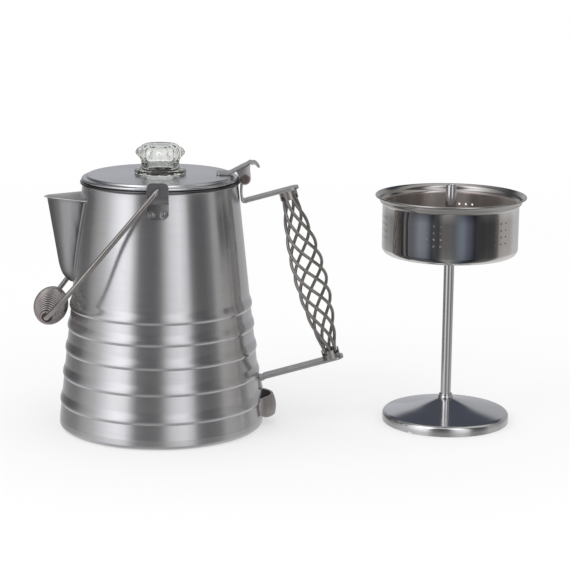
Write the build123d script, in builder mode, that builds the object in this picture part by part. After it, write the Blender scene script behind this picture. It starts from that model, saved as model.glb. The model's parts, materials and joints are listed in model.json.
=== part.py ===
from build123d import *
import os
from math import sin, cos, tan, pi, radians, sqrt, hypot, atan2, degrees

# Camp coffee percolator, stainless steel, with its pump and basket standing
# beside it.  Millimetres, +Z up.  Origin: centre of the pot's base on the
# floor.  The spout points to -X, the handle to +X, the bail ears to -Y and +Y.

os.makedirs("parts", exist_ok=True)

# ---------------------------------------------------------------- dimensions
# pot shell
WALL = 1.0                     # sheet thickness of the shell
R_FOOT = 79.3                  # cone radius carried down to the floor
TAPER_LOW = 0.112              # radius lost per millimetre below the beads' top
TAPER_HIGH = 0.1047            # and above it
Z_TAPER = 102.0
Z_SEAM = 7.0                   # seam between bottom pan and shell
BEADS = [18.6, 39.7, 59.1, 76.4, 92.4]   # lower edge of each rolled bead
BEAD_TALL = 9.4
BEAD_PROUD = 1.2
CURL_R = 1.25                  # tube radius of the curled mouth rim
CURL_RING = 59.35              # radius of the rim's centreline
Z_RIM = 188.85

# lid
LID_R = 59.5
LID_T = 0.9
LID_BEAD = 1.2
Z_LID_BEAD = Z_RIM + CURL_R + 0.05 + LID_BEAD
Z_LID_TOP = 194.3
LID_STEP_R = 54.6
LID_CROWN = 0.6
KNOB_HOLE_R = 13.58
KNOB_SPIGOT_R = 13.5
COLLAR_R = 56.4
COLLAR_Z = 182.2

# glass knob
KNOB_FLANGE_R = 19.7
KNOB_BULB_R = 18.5
KNOB_NECK_R = 14.4
KNOB_TOP_R = 12.6
KNOB_TOP_Z = 217.2

# lid hinge
PIN_X = 63.9
PIN_Z = 191.9
PIN_R = 1.7
EYE_R = 3.15
CHEEK_IN = 7.35
CHEEK_T = 1.25
CHEEK_LOBE = 4.5
PIN_HEAD_R = 3.6

# side handle
STRAP_T = 1.9
STRAP_W = 14.0
CAGE_TOP = (96.4, 181.9)       # cage axis at the upper strap's lower face
CAGE_FOOT = (131.8, 51.4)      # cage axis at the lower strap's upper face
CAGE_WIRES = 6
CAGE_WIRE_R = 1.25
CAGE_MAX_R = 11.95             # wire centreline radius at the middle
CAGE_END_R = 4.1
CAGE_TURNS = 1.28
CAP_R = 6.9
CAP_TALL = 6.6

# bail
PIVOT_Z = 191.6
BAIL_WIRE_R = 2.0
GRIP_X, GRIP_Z = -84.3, 92.3   # coil grip axis at rest
LEG_Y = 65.9
EAR_IN = 61.3
EAR_T = 1.5
EAR_W = 16.0
COIL_WIRE_R = 1.0
COIL_HALF = 37.6
COIL_END_R = 4.75
COIL_MID_R = 12.05
COIL_TURNS = 24

# pump and basket, standing beside the pot
PUMP_X, PUMP_Y = 221.7, 3.3
TUBE_R = 4.0
TUBE_BORE = 3.2
TUBE_TOP = 186.0
FOOT_R = 49.2
BASKET_R = 52.2
BASKET_RIM_R = 57.8
BASKET_FLOOR = 132.8
BASKET_TOP = 178.4
HUB_BORE = 4.08
HOLE_R = 0.85


def shell_radius(z):
    """Outer radius of the plain cone of the shell at height z."""
    if z <= Z_TAPER:
        return R_FOOT - TAPER_LOW * z
    return R_FOOT - TAPER_LOW * Z_TAPER - TAPER_HIGH * (z - Z_TAPER)


def shell_line(inset):
    """Draws the shell's beaded side from the seam to the rim."""
    last = (shell_radius(Z_SEAM) - inset, Z_SEAM)
    for z in BEADS:
        foot = (shell_radius(z) - inset, z)
        Line(last, foot)
        last = (shell_radius(z + BEAD_TALL) - inset, z + BEAD_TALL)
        Spline(
            foot,
            (shell_radius(z + 1.3) + 0.82 * BEAD_PROUD - inset, z + 1.3),
            (shell_radius(z + 3.2) + BEAD_PROUD - inset, z + 3.2),
            (shell_radius(z + 6.2) + 0.52 * BEAD_PROUD - inset, z + 6.2),
            last,
            tangents=[(0.75, 0.66), (-TAPER_LOW, 1.0)],
        )
    turn = (shell_radius(Z_TAPER) - inset, Z_TAPER)
    Line(last, turn)
    Line(turn, (shell_radius(Z_RIM) - inset, Z_RIM))


# ------------------------------------------------------------------ the shell
with BuildPart() as envelope:            # filled shape, used only to trim
    with BuildSketch(Plane.XZ):
        with BuildLine():
            Polyline((shell_radius(Z_RIM), Z_RIM), (0, Z_RIM), (0, 0), (R_FOOT - 0.6, 0),
                     (shell_radius(Z_SEAM), Z_SEAM))
            shell_line(0)
        make_face()
        with Locations((CURL_RING, Z_RIM)):
            Circle(CURL_R)
    revolve(axis=Axis.Z)

strainer = []
for row, z in enumerate((134, 142, 150, 158, 166)):
    reach = 6.5 + (z - 134) * 0.27
    count = int(reach // 3.4)
    for k in range(-count, count + 1):
        a = pi + k * 6.0 / shell_radius(z)
        strainer.append(Plane(origin=(shell_radius(z) * cos(a), shell_radius(z) * sin(a), z),
                              x_dir=(0, 0, 1), z_dir=(cos(a), sin(a), 0)))

with BuildPart() as pot_body:
    with BuildSketch(Plane.XZ):
        with BuildLine():
            shell_line(0)
            Line((shell_radius(Z_RIM), Z_RIM), (shell_radius(Z_RIM) - WALL, Z_RIM))
            shell_line(WALL)
            Line((shell_radius(Z_SEAM) - WALL, Z_SEAM), (shell_radius(Z_SEAM), Z_SEAM))
        make_face()
        with Locations((CURL_RING, Z_RIM)):
            Circle(CURL_R)
    revolve(axis=Axis.Z)
    with Locations(*strainer):
        Cylinder(1.5, 8, mode=Mode.SUBTRACT)

with BuildPart() as pot_bottom:
    seam = shell_radius(Z_SEAM)
    with BuildSketch(Plane.XZ):
        with BuildLine():
            Line((0, 0), (75.8, 0))
            ThreePointArc((75.8, 0), (77.85, 0.9), (78.75, 3.0))
            Line((78.75, 3.0), (seam, Z_SEAM))
            Line((seam, Z_SEAM), (seam - WALL, Z_SEAM))
            Line((seam - WALL, Z_SEAM), (77.7, 3.2))
            ThreePointArc((77.7, 3.2), (77.1, 1.75), (75.7, 1.15))
            Polyline((75.7, 1.15), (0, 1.15), (0, 0))
        make_face()
    revolve(axis=Axis.Z)

# ------------------------------------------------------------------ the spout
def spout_section(z, nose, half, grow=0.0):
    """Horizontal V-nosed section of the spout at height z."""
    back = -sqrt(shell_radius(z) ** 2 - half ** 2)
    deep = nose + back
    n = nose + grow
    h = half + grow
    pts = [(back + 0.24 * deep, 1.16 * h), (back, h), (back - 0.45 * deep, 0.64 * h),
           (back - 0.80 * deep - 0.6 * grow, 0.34 * h)]
    Spline(*pts, (-n, 0), *[(x, -y) for x, y in reversed(pts)])
    Line((pts[0][0], -pts[0][1]), pts[0])


SPOUT = [(177.0, 85.9, 23.0), (150.0, 81.6, 15.9), (126.0, 77.8, 9.3), (118.0, 75.4, 6.6),
         (113.6, 72.0, 4.4), (111.0, 68.6, 2.6)]
SPOUT_TOP = 177.0
with BuildPart() as spout:
    for z, nose, half in SPOUT:
        with BuildSketch(Plane.XY.offset(z)):
            with BuildLine():
                spout_section(z, nose, half)
            make_face()
    loft()
    for z, nose, half in [(181.0, 86.55, 24.05)] + SPOUT[:-1]:
        with BuildSketch(Plane.XY.offset(z + (0.9 if z < 120 else 0))):
            with BuildLine():
                spout_section(z, nose, half, -0.95)
            make_face()
    loft(mode=Mode.SUBTRACT)
    # turned-out pouring lip round the nose, and the two wings beside it
    with BuildSketch(Plane.XY.offset(SPOUT_TOP - 0.9)):
        with BuildLine():
            spout_section(SPOUT_TOP, 85.9, 23.0, 2.5)
        make_face()
        with BuildLine():
            spout_section(SPOUT_TOP, 85.9, 23.0, -0.95)
        make_face(mode=Mode.SUBTRACT)
        with Locations((-68.6, 0)):
            Rectangle(1.3, 60, mode=Mode.SUBTRACT)
        with Locations((-48.0, 0)):
            Rectangle(20.0, 80, mode=Mode.SUBTRACT)
    extrude(amount=0.9)
    add(envelope.part, mode=Mode.SUBTRACT)

# -------------------------------------------------------------- the tilt grip
def grip_outline(half, out, root):
    pts = [(root, -half), (root + 0.55 * (out - root), -0.86 * half), (out, 0),
           (root + 0.55 * (out - root), 0.86 * half), (root, half)]
    Spline(*pts)
    Line(pts[-1], pts[0])


GRIP_LEVELS = [(22.6, 18.0, 86.6), (14.0, 19.0, 88.9), (6.6, 19.2, 88.3)]
with BuildPart() as tilt_grip:
    for z, half, out in GRIP_LEVELS:
        with BuildSketch(Plane.XY.offset(z)):
            with BuildLine():
                grip_outline(half, out, 68.0)
            make_face()
    loft()
    for z, half, out in [(24.0, 16.1, 84.5), (14.0, 17.2, 87.1), (5.0, 17.3, 86.3)]:
        with BuildSketch(Plane.XY.offset(z)):
            with BuildLine():
                grip_outline(half, out, 66.0)
            make_face()
    loft(mode=Mode.SUBTRACT)
    add(envelope.part, mode=Mode.SUBTRACT)
    add(pot_bottom.part, mode=Mode.SUBTRACT)

# -------------------------------------------------------------------- the lid
with BuildPart() as lid:
    crown = Z_LID_TOP + LID_CROWN
    low = Z_LID_BEAD + LID_BEAD            # top of the rim flange
    with BuildSketch(Plane.XZ):
        with BuildLine():
            ThreePointArc((KNOB_HOLE_R, crown), (36, Z_LID_TOP + 0.42), (LID_STEP_R, Z_LID_TOP))
            Spline((LID_STEP_R, Z_LID_TOP), (LID_STEP_R + 0.75, Z_LID_TOP - 0.85), (LID_STEP_R + 1.7, low),
                   tangents=[(1, -0.02), (1, 0)])
            Line((LID_STEP_R + 1.7, low), (LID_R - LID_BEAD, low))
            Line((LID_R - LID_BEAD, low), (LID_R - LID_BEAD, low - LID_T))
            Line((LID_R - LID_BEAD, low - LID_T), (LID_STEP_R + 1.2, low - LID_T))
            Spline((LID_STEP_R + 1.2, low - LID_T), (LID_STEP_R - 0.1, Z_LID_TOP - 0.85 - LID_T),
                   (LID_STEP_R - 0.8, Z_LID_TOP - LID_T), tangents=[(-1, 0), (-1, 0.02)])
            ThreePointArc((LID_STEP_R - 0.8, Z_LID_TOP - LID_T), (36, Z_LID_TOP + 0.42 - LID_T),
                          (KNOB_HOLE_R, crown - LID_T))
            Line((KNOB_HOLE_R, crown - LID_T), (KNOB_HOLE_R, crown))
        make_face()
        with Locations((LID_R - LID_BEAD, Z_LID_BEAD)):
            Circle(LID_BEAD)
    revolve(axis=Axis.Z)
    # bayonet notches for the knob's lugs
    with Locations((KNOB_HOLE_R, 0, crown), (-KNOB_HOLE_R, 0, crown)):
        Box(5.4, 7.4, 6, mode=Mode.SUBTRACT)

with BuildPart() as lid_collar:
    flange_under = Z_LID_BEAD + LID_BEAD - LID_T
    with BuildSketch(Plane.XZ):
        with BuildLine():
            Polyline((COLLAR_R, COLLAR_Z + 0.8), (COLLAR_R, flange_under), (COLLAR_R - 0.8, flange_under),
                     (COLLAR_R - 0.8, COLLAR_Z))
            Line((COLLAR_R - 0.8, COLLAR_Z), (COLLAR_R - 0.3, COLLAR_Z))
            ThreePointArc((COLLAR_R - 0.3, COLLAR_Z), (COLLAR_R - 0.06, COLLAR_Z + 0.3), (COLLAR_R, COLLAR_Z + 0.8))
        make_face()
    revolve(axis=Axis.Z)
    # keep the ring clear of the step pressed into the lid
    add(lid.part, mode=Mode.SUBTRACT)

# ------------------------------------------------------------- the glass knob
with BuildPart() as lid_knob:
    seat = Z_LID_TOP + LID_CROWN + 0.02
    with BuildSketch(Plane.XZ):
        with BuildLine():
            Line((KNOB_FLANGE_R - 0.8, seat), (KNOB_SPIGOT_R, seat))
            Line((KNOB_SPIGOT_R, seat), (KNOB_SPIGOT_R, 188.6))
            Line((KNOB_SPIGOT_R, 188.6), (10.4, 188.6))
            Line((10.4, 188.6), (10.6, 203.0))
            Spline((10.6, 203.0), (14.2, 209.5), (12.2, 213.2), (0, 214.0),
                   tangents=[(0.1, 1), (-1, 0)])
            Line((0, 214.0), (0, KNOB_TOP_Z - 0.3))
            Line((0, KNOB_TOP_Z - 0.3), (KNOB_TOP_R - 2.6, KNOB_TOP_Z))
            Spline((KNOB_TOP_R - 2.6, KNOB_TOP_Z), (KNOB_TOP_R + 0.6, KNOB_TOP_Z - 0.9),
                   (KNOB_BULB_R - 1.2, KNOB_TOP_Z - 3.2), (KNOB_BULB_R, KNOB_TOP_Z - 5.9),
                   (KNOB_BULB_R - 2.2, KNOB_TOP_Z - 9.6), (KNOB_NECK_R, KNOB_TOP_Z - 13.2),
                   (KNOB_NECK_R + 0.5, KNOB_TOP_Z - 17.6), tangents=[(1, 0), (0.3, -1)])
            Spline((KNOB_NECK_R + 0.5, KNOB_TOP_Z - 17.6), (KNOB_FLANGE_R - 1.2, 198.3),
                   (KNOB_FLANGE_R, 196.7), (KNOB_FLANGE_R - 0.8, seat), tangents=[(0.6, -0.8), (-0.7, -0.7)])
        make_face()
    revolve(axis=Axis.Z)
    # two bayonet lugs under the lid
    with BuildSketch(Plane.XY.offset(190.6)):
        with Locations((0, 0)):
            Rectangle(6.2, 30.6)
        Circle(11.5, mode=Mode.SUBTRACT)
    extrude(amount=2.6)

# -------------------------------------------------------------- the lid hinge
TAB_BEND = (52.0, Z_LID_TOP + 1.2 + 0.36)
slope = radians(27.6)


def on_slope(d, up=0.0):
    """Point at distance d up the hinge leaf's slope, measured on its upper face."""
    return (TAB_BEND[0] + d * cos(slope) - up * sin(slope), TAB_BEND[1] + d * sin(slope) + up * cos(slope))


with BuildPart() as thumb_tab:
    top = TAB_BEND[1]
    with BuildSketch(Plane.XZ):
        with BuildLine():
            a = on_slope(18.0)
            b = on_slope(18.0, -1.2)
            Line((42.5, top), TAB_BEND)
            Line(TAB_BEND, a)
            Spline(a, (70.9, 204.1), (75.2, 200.4), tangents=[(cos(slope), sin(slope)), (0.62, -0.78)])
            Line((75.2, 200.4), (74.3, 199.6))
            Spline((74.3, 199.6), (70.5, 202.9), b, tangents=[(-0.62, 0.78), (-cos(slope), -sin(slope))])
            Line(b, (TAB_BEND[0] + 0.3, top - 1.2))
            Line((TAB_BEND[0] + 0.3, top - 1.2), (42.5, top - 1.2))
            Line((42.5, top - 1.2), (42.5, top))
        make_face()
    extrude(amount=CHEEK_IN + CHEEK_T, both=True)
    # round the thumb tip and the leaf's corners
    fillet(thumb_tab.edges().filter_by(GeomType.LINE).filter_by(
        lambda e: e.length < 1.6 and abs(e.tangent_at(0.5).Y) < 0.01 and e.center().X > 72), 4.0)
    fillet(thumb_tab.edges().filter_by(Axis.Z).filter_by(lambda e: e.center().X < 43), 3.0)
    # cheeks that hang from the slope and carry the pin
    for side in (-1, 1):
        with BuildSketch(Plane.XZ.offset(-side * (CHEEK_IN + CHEEK_T / 2))):
            with BuildLine():
                Line(on_slope(5.4, -0.6), on_slope(17.6, -0.6))
                Line(on_slope(17.6, -0.6), (PIN_X + CHEEK_LOBE, PIN_Z))
                ThreePointArc((PIN_X + CHEEK_LOBE, PIN_Z), (PIN_X, PIN_Z - CHEEK_LOBE),
                              (PIN_X - CHEEK_LOBE * 0.94, PIN_Z - CHEEK_LOBE * 0.34))
                Line((PIN_X - CHEEK_LOBE * 0.94, PIN_Z - CHEEK_LOBE * 0.34), (PIN_X - 4.6, PIN_Z + 1.9))
                Line((PIN_X - 4.6, PIN_Z + 1.9), on_slope(5.4, -0.6))
            make_face()
            with Locations((PIN_X, PIN_Z)):
                Circle(PIN_R, mode=Mode.SUBTRACT)
        extrude(amount=CHEEK_T / 2, both=True)
    add(lid.part, mode=Mode.SUBTRACT)

with BuildPart() as hinge_pin:
    with BuildSketch(Plane.XZ):
        with Locations((PIN_X, PIN_Z)):
            Circle(PIN_R)
    extrude(amount=CHEEK_IN + CHEEK_T, both=True)
    for side in (-1, 1):
        with BuildSketch(Plane.XZ.offset(-side * (CHEEK_IN + CHEEK_T))):
            with Locations((PIN_X, PIN_Z)):
                Circle(PIN_HEAD_R)
        extrude(amount=-side * 0.9)
    chamfer(hinge_pin.edges().filter_by(GeomType.CIRCLE).filter_by(
        lambda e: abs(e.radius - PIN_HEAD_R) < 0.01 and abs(e.center().Y) > CHEEK_IN + CHEEK_T + 0.5), 0.35)

# ------------------------------------------------------------ the side handle
tilt = atan2(CAGE_FOOT[0] - CAGE_TOP[0], CAGE_TOP[1] - CAGE_FOOT[1])   # cage lean from vertical
ux, uz = cos(tilt), sin(tilt)              # along the straps, away from the pot
vx, vz = -sin(tilt), cos(tilt)             # up the cage axis


def on_top(d, up):
    return (CAGE_TOP[0] + d * ux + up * vx, CAGE_TOP[1] + d * uz + up * vz)


def on_foot(d, up):
    return (CAGE_FOOT[0] + d * ux + up * vx, CAGE_FOOT[1] + d * uz + up * vz)


with BuildPart() as upper_handle_strap:
    knee = 62.2
    d_knee = (knee + 1.0 - CAGE_TOP[0]) / ux
    with BuildSketch(Plane.XZ):
        with BuildLine():
            # inner face runs down the shell, then out along the arm
            Polyline(
                (PIN_X - EYE_R + 0.2, PIN_Z - 1.0),
                (60.85, 187.0),
                (60.3, 184.6),
                (knee - STRAP_T + 0.1, on_top(d_knee, 0)[1] + 0.2),
                (knee - STRAP_T + 0.9, on_top(d_knee, 0)[1] - 1.4),
                on_top(d_knee, 0),
                on_top(8.9, 0),
                on_top(8.9, STRAP_T),
                (on_top(d_knee, STRAP_T)[0] + 0.6, on_top(d_knee, STRAP_T)[1] + 0.16),
                (knee + 0.15, on_top(d_knee, STRAP_T)[1] + 1.8),
                (62.25, 184.6),
                (62.75, 187.6),
                (PIN_X + 0.6, PIN_Z - EYE_R + 0.1),
                (PIN_X, PIN_Z),
                (PIN_X - EYE_R + 0.2, PIN_Z - 1.0),
            )
        make_face()
        with Locations((PIN_X, PIN_Z)):
            Circle(EYE_R)
            Circle(PIN_R + 0.07, mode=Mode.SUBTRACT)
    extrude(amount=STRAP_W / 2, both=True)
    # rounded outer end of the arm
    fillet(upper_handle_strap.edges().filter_by(
        lambda e: e.length < 2.4 and abs(e.tangent_at(0.5).Y) < 0.01 and e.center().X > 103), 6.0)
    add(envelope.part, mode=Mode.SUBTRACT)

with BuildPart() as lower_handle_strap:
    root_d = (76.6 - CAGE_FOOT[0]) / ux
    rz = on_foot(root_d, -STRAP_T)[1]
    with BuildSketch(Plane.XZ):
        with BuildLine():
            Polyline(
                on_foot(8.9, 0),
                on_foot(root_d - 2.1, 0),
                (shell_radius(rz) - 1.0, rz - 0.6),
                (shell_radius(26.5) - 1.0, 26.5),
                (shell_radius(26.5) + 2.0, 26.5),
                (shell_radius(rz) + 2.1, rz - 1.2),
                (shell_radius(rz) + 3.4, on_foot((shell_radius(rz) + 3.4 - CAGE_FOOT[0]) / ux, -STRAP_T)[1]),
                on_foot(8.9, -STRAP_T),
                on_foot(8.9, 0),
            )
        make_face()
    extrude(amount=STRAP_W / 2, both=True)
    fillet(lower_handle_strap.edges().filter_by(
        lambda e: e.length < 2.4 and abs(e.tangent_at(0.5).Y) < 0.01 and e.center().X > 138), 6.0)
    fillet(lower_handle_strap.edges().filter_by(
        lambda e: e.length < 3.2 and abs(e.tangent_at(0.5).Y) < 0.01 and abs(e.center().Z - 26.5) < 0.1), 2.5)
    add(envelope.part, mode=Mode.SUBTRACT)


top_base = Plane(origin=(CAGE_TOP[0], 0, CAGE_TOP[1]), x_dir=(0, 1, 0), z_dir=(-vx, 0, -vz))
with BuildPart() as cage_cap_top:          # ferrule with a base disc and a notched wall
    with BuildSketch(top_base):
        Circle(CAP_R)
    extrude(amount=CAP_TALL)
    with BuildSketch(top_base.offset(1.3)):
        Circle(CAP_R - 0.9)
    extrude(amount=CAP_TALL, mode=Mode.SUBTRACT)
    with BuildSketch(top_base.offset(3.4)):
        with PolarLocations(CAP_R, 4, start_angle=45):
            Rectangle(4.2, 4.6)
    extrude(amount=CAP_TALL, mode=Mode.SUBTRACT)

foot_base = Plane(origin=(CAGE_FOOT[0], 0, CAGE_FOOT[1]), x_dir=(0, 1, 0), z_dir=(vx, 0, vz))
with BuildPart() as cage_cap_bottom:
    with BuildSketch(foot_base):
        Circle(CAP_R)
    extrude(amount=CAP_TALL)
    with BuildSketch(foot_base.offset(1.3)):
        Circle(CAP_R - 0.9)
    extrude(amount=CAP_TALL, mode=Mode.SUBTRACT)
    with BuildSketch(foot_base.offset(3.4)):
        with PolarLocations(CAP_R, 4, start_angle=45):
            Rectangle(4.2, 4.6)
    extrude(amount=CAP_TALL, mode=Mode.SUBTRACT)

cage_length = hypot(CAGE_FOOT[0] - CAGE_TOP[0], CAGE_FOOT[1] - CAGE_TOP[1])
cage_paths = []
for k in range(CAGE_WIRES):
    pts = []
    for j in range(17):
        s = j / 16
        d = 2.1 + s * (cage_length - 4.2)       # distance down from the top strap
        q = min(max((d - 6.4) / (cage_length - 12.8), 0.0), 1.0)
        r = CAGE_END_R + (CAGE_MAX_R - CAGE_END_R) * sin(pi * q) ** 0.86
        a = 2 * pi * (k / CAGE_WIRES + CAGE_TURNS * (q - 0.088 * sin(2 * pi * q) / (2 * pi))) - radians(7)
        x = CAGE_TOP[0] - d * vx + r * cos(a) * ux
        z = CAGE_TOP[1] - d * vz + r * cos(a) * uz
        pts.append((x, r * sin(a), z))
    with BuildLine() as one_wire:
        Spline(*pts)
    cage_paths.append(one_wire.wires()[0])

with BuildPart() as cage_wires:
    for path in cage_paths:
        with BuildSketch(Plane(origin=path @ 0, z_dir=path % 0)):
            Circle(CAGE_WIRE_R)
        sweep(path=path)

# ------------------------------------------------------------------- the bail
r_low, r_jog = shell_radius(169.8), shell_radius(181.3)
with BuildPart() as bail_ear_front:
    with BuildSketch(Plane.YZ):
        with BuildLine():
            Polyline((0.6 - r_low, 169.8), (-1.45 - r_low, 169.8), (-1.45 - r_jog, 181.3),
                     (-EAR_IN - EAR_T, 184.6), (-EAR_IN - EAR_T, 197.0), (-EAR_IN, 197.0),
                     (-EAR_IN, 185.0), (-0.1 - r_jog, 182.6), (0.6 - r_jog, 181.3), (0.6 - r_low, 169.8))
        make_face()
    extrude(amount=EAR_W / 2, both=True)
    with BuildSketch(Plane.XZ.offset(EAR_IN - 4)):
        with Locations((0, PIVOT_Z)):
            Circle(BAIL_WIRE_R + 0.07)
    extrude(amount=10, mode=Mode.SUBTRACT)
    fillet(bail_ear_front.edges().filter_by(Axis.Y).filter_by(lambda e: e.center().Z > 196), 4.0)
    chamfer(bail_ear_front.edges().filter_by(Axis.Y).filter_by(lambda e: e.center().Z < 170.5), 3.0)
    add(envelope.part, mode=Mode.SUBTRACT)

with BuildPart() as bail_ear_rear:
    mirror(bail_ear_front.part, about=Plane.XZ)

leg = hypot(GRIP_X, GRIP_Z - PIVOT_Z)
dx, dz = GRIP_X / leg, (GRIP_Z - PIVOT_Z) / leg
bail_plane = Plane(origin=(0, 0, PIVOT_Z), x_dir=(dx, 0, dz), z_dir=(-dz, 0, dx))
HOOK = 3.1


def bezier(p0, p1, p2, p3, n):
    out = []
    for k in range(1, n + 1):
        t = k / n
        out.append(tuple((1 - t) ** 3 * a + 3 * t * (1 - t) ** 2 * b + 3 * t * t * (1 - t) * c + t ** 3 * d
                         for a, b, c, d in zip(p0, p1, p2, p3)))
    return out


# one half of the wire, from its hooked end through the ear to the grip
half = [(0, 60.7), (0, 61.7), (0, LEG_Y - HOOK)]
half += [(HOOK * (1 - cos(radians(t))), LEG_Y - HOOK + HOOK * sin(radians(t))) for t in (15, 30, 45, 60, 75, 90)]
half += [(u, LEG_Y) for u in (6, 12, 20, 30)]
half += bezier((30, LEG_Y), (66, LEG_Y), (leg - 30, 69.5), (leg - 8.5, 51.5), 9)
half += bezier((leg - 8.5, 51.5), (leg - 4.0, 47.7), (leg, 45.5), (leg, 41.0), 6)
half += [(leg, v) for v in (38, 30, 20, 10)]
outline = [(u, -v) for u, v in half] + [(leg, 0)] + [(u, v) for u, v in reversed(half)]
with BuildLine() as bail_path:
    Spline(*[bail_plane.from_local_coords(Vector(u, v, 0)) for u, v in outline])
bail_wire_path = bail_path.wires()[0]

with BuildPart() as bail_wire:
    with BuildSketch(Plane(origin=bail_wire_path @ 0, z_dir=bail_wire_path % 0)):
        Circle(BAIL_WIRE_R)
    sweep(path=bail_wire_path)

# barrel coil: it closes in to a running fit on the wire at both ends
coil_points = []
PER_TURN = 16
coil_steps = COIL_TURNS * PER_TURN
for j in range(-PER_TURN, coil_steps + PER_TURN + 1):
    y = -COIL_HALF + 2 * COIL_HALF * min(max(j / coil_steps, 0.0), 1.0)
    r = COIL_END_R + (COIL_MID_R - COIL_END_R) * cos(pi * 0.5 * min(abs(y) / COIL_HALF, 1.0))
    over = max(-j, j - coil_steps, 0) / PER_TURN
    if over:
        close = BAIL_WIRE_R + 0.06 + COIL_WIRE_R
        r = COIL_END_R - (COIL_END_R - close) * (3 * over ** 2 - 2 * over ** 3)
        y += over * 1.3 * (-1 if j < 0 else 1)
    a = 2 * pi * j / PER_TURN
    coil_points.append((GRIP_X + r * cos(a), y, GRIP_Z + r * sin(a)))
with BuildLine() as coil_path:
    Spline(*coil_points)
coil_wire = coil_path.wires()[0]

with BuildPart() as bail_coil_grip:
    with BuildSketch(Plane(origin=coil_wire @ 0, z_dir=coil_wire % 0)):
        Circle(COIL_WIRE_R)
    sweep(path=coil_wire, is_frenet=True)

# ------------------------------------------------------- the pump and basket
axis = Axis((PUMP_X, PUMP_Y, 0), (0, 0, 1))
side_view = Plane(origin=(PUMP_X, PUMP_Y, 0), x_dir=(1, 0, 0), z_dir=(0, -1, 0))

with BuildPart() as pump_base:
    with BuildSketch(side_view):
        with BuildLine():
            Spline((TUBE_R, 18.4), (8.0, 17.2), (20.0, 13.9), (FOOT_R - 3.2, 7.9), tangents=[(1, -0.32), (1, -0.24)])
            ThreePointArc((FOOT_R - 3.2, 7.9), (FOOT_R - 0.75, 6.75), (FOOT_R, 5.2))
            Line((FOOT_R, 5.2), (FOOT_R, 0))
            Line((FOOT_R, 0), (FOOT_R - 0.9, 0))
            Line((FOOT_R - 0.9, 0), (FOOT_R - 0.9, 5.0))
            ThreePointArc((FOOT_R - 0.9, 5.0), (FOOT_R - 1.5, 6.1), (FOOT_R - 3.4, 7.0))
            Spline((FOOT_R - 3.4, 7.0), (20.0, 13.0), (8.0, 16.2), (TUBE_R, 17.4), tangents=[(-1, 0.24), (-1, 0.32)])
            Line((TUBE_R, 17.4), (TUBE_R, 18.4))
        make_face()
    revolve(axis=axis)
    # water inlets in the foot's edge
    inlets = [Plane(origin=(PUMP_X + FOOT_R * cos(radians(t)), PUMP_Y + FOOT_R * sin(radians(t)), 0),
                    x_dir=(-sin(radians(t)), cos(radians(t)), 0), z_dir=(0, 0, 1)) for t in (-130, -10, 110)]
    with Locations(*inlets):
        Box(4.0, 6.0, 2.8, mode=Mode.SUBTRACT)

with BuildPart() as pump_tube:
    with BuildSketch(Plane.XY.offset(15.0)):
        with Locations((PUMP_X, PUMP_Y)):
            Circle(TUBE_R)
            Circle(TUBE_BORE, mode=Mode.SUBTRACT)
    extrude(amount=TUBE_TOP - 15.0)
    chamfer(pump_tube.edges().filter_by(GeomType.CIRCLE).sort_by(Axis.Z)[-2:], 0.25)

with BuildPart() as tube_collar:
    with BuildSketch(side_view):
        with BuildLine():
            Polyline((TUBE_R, 18.42), (5.7, 18.05), (5.8, 19.3), (5.0, 19.7), (5.0, 21.4), (TUBE_R, 21.9), (TUBE_R, 18.42))
        make_face()
    revolve(axis=axis)
    add(pump_base.part, mode=Mode.SUBTRACT)

with BuildPart() as basket_stop:
    with BuildSketch(side_view):
        with BuildLine():
            Polyline((TUBE_R, 124.9), (5.1, 125.4), (5.4, 126.6), (5.4, 127.9), (TUBE_R, 127.9), (TUBE_R, 124.9))
        make_face()
    revolve(axis=axis)

wall_holes = []
for group in range(6):
    for col in (-1, 0, 1):
        t = radians(-110.5 + 60 * group) + col * 5.3 / BASKET_R
        for z in (147.6, 152.7, 157.8, 162.9):
            wall_holes.append(Plane(
                origin=(PUMP_X + BASKET_R * cos(t), PUMP_Y + BASKET_R * sin(t), z),
                x_dir=(0, 0, 1), z_dir=(cos(t), sin(t), 0)))
floor_holes = []
for ring, count in ((14.5, 10), (21.5, 16), (28.5, 22), (35.5, 28)):
    for k in range(count):
        t = 2 * pi * k / count
        floor_holes.append((PUMP_X + ring * cos(t), PUMP_Y + ring * sin(t), BASKET_FLOOR))

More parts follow.
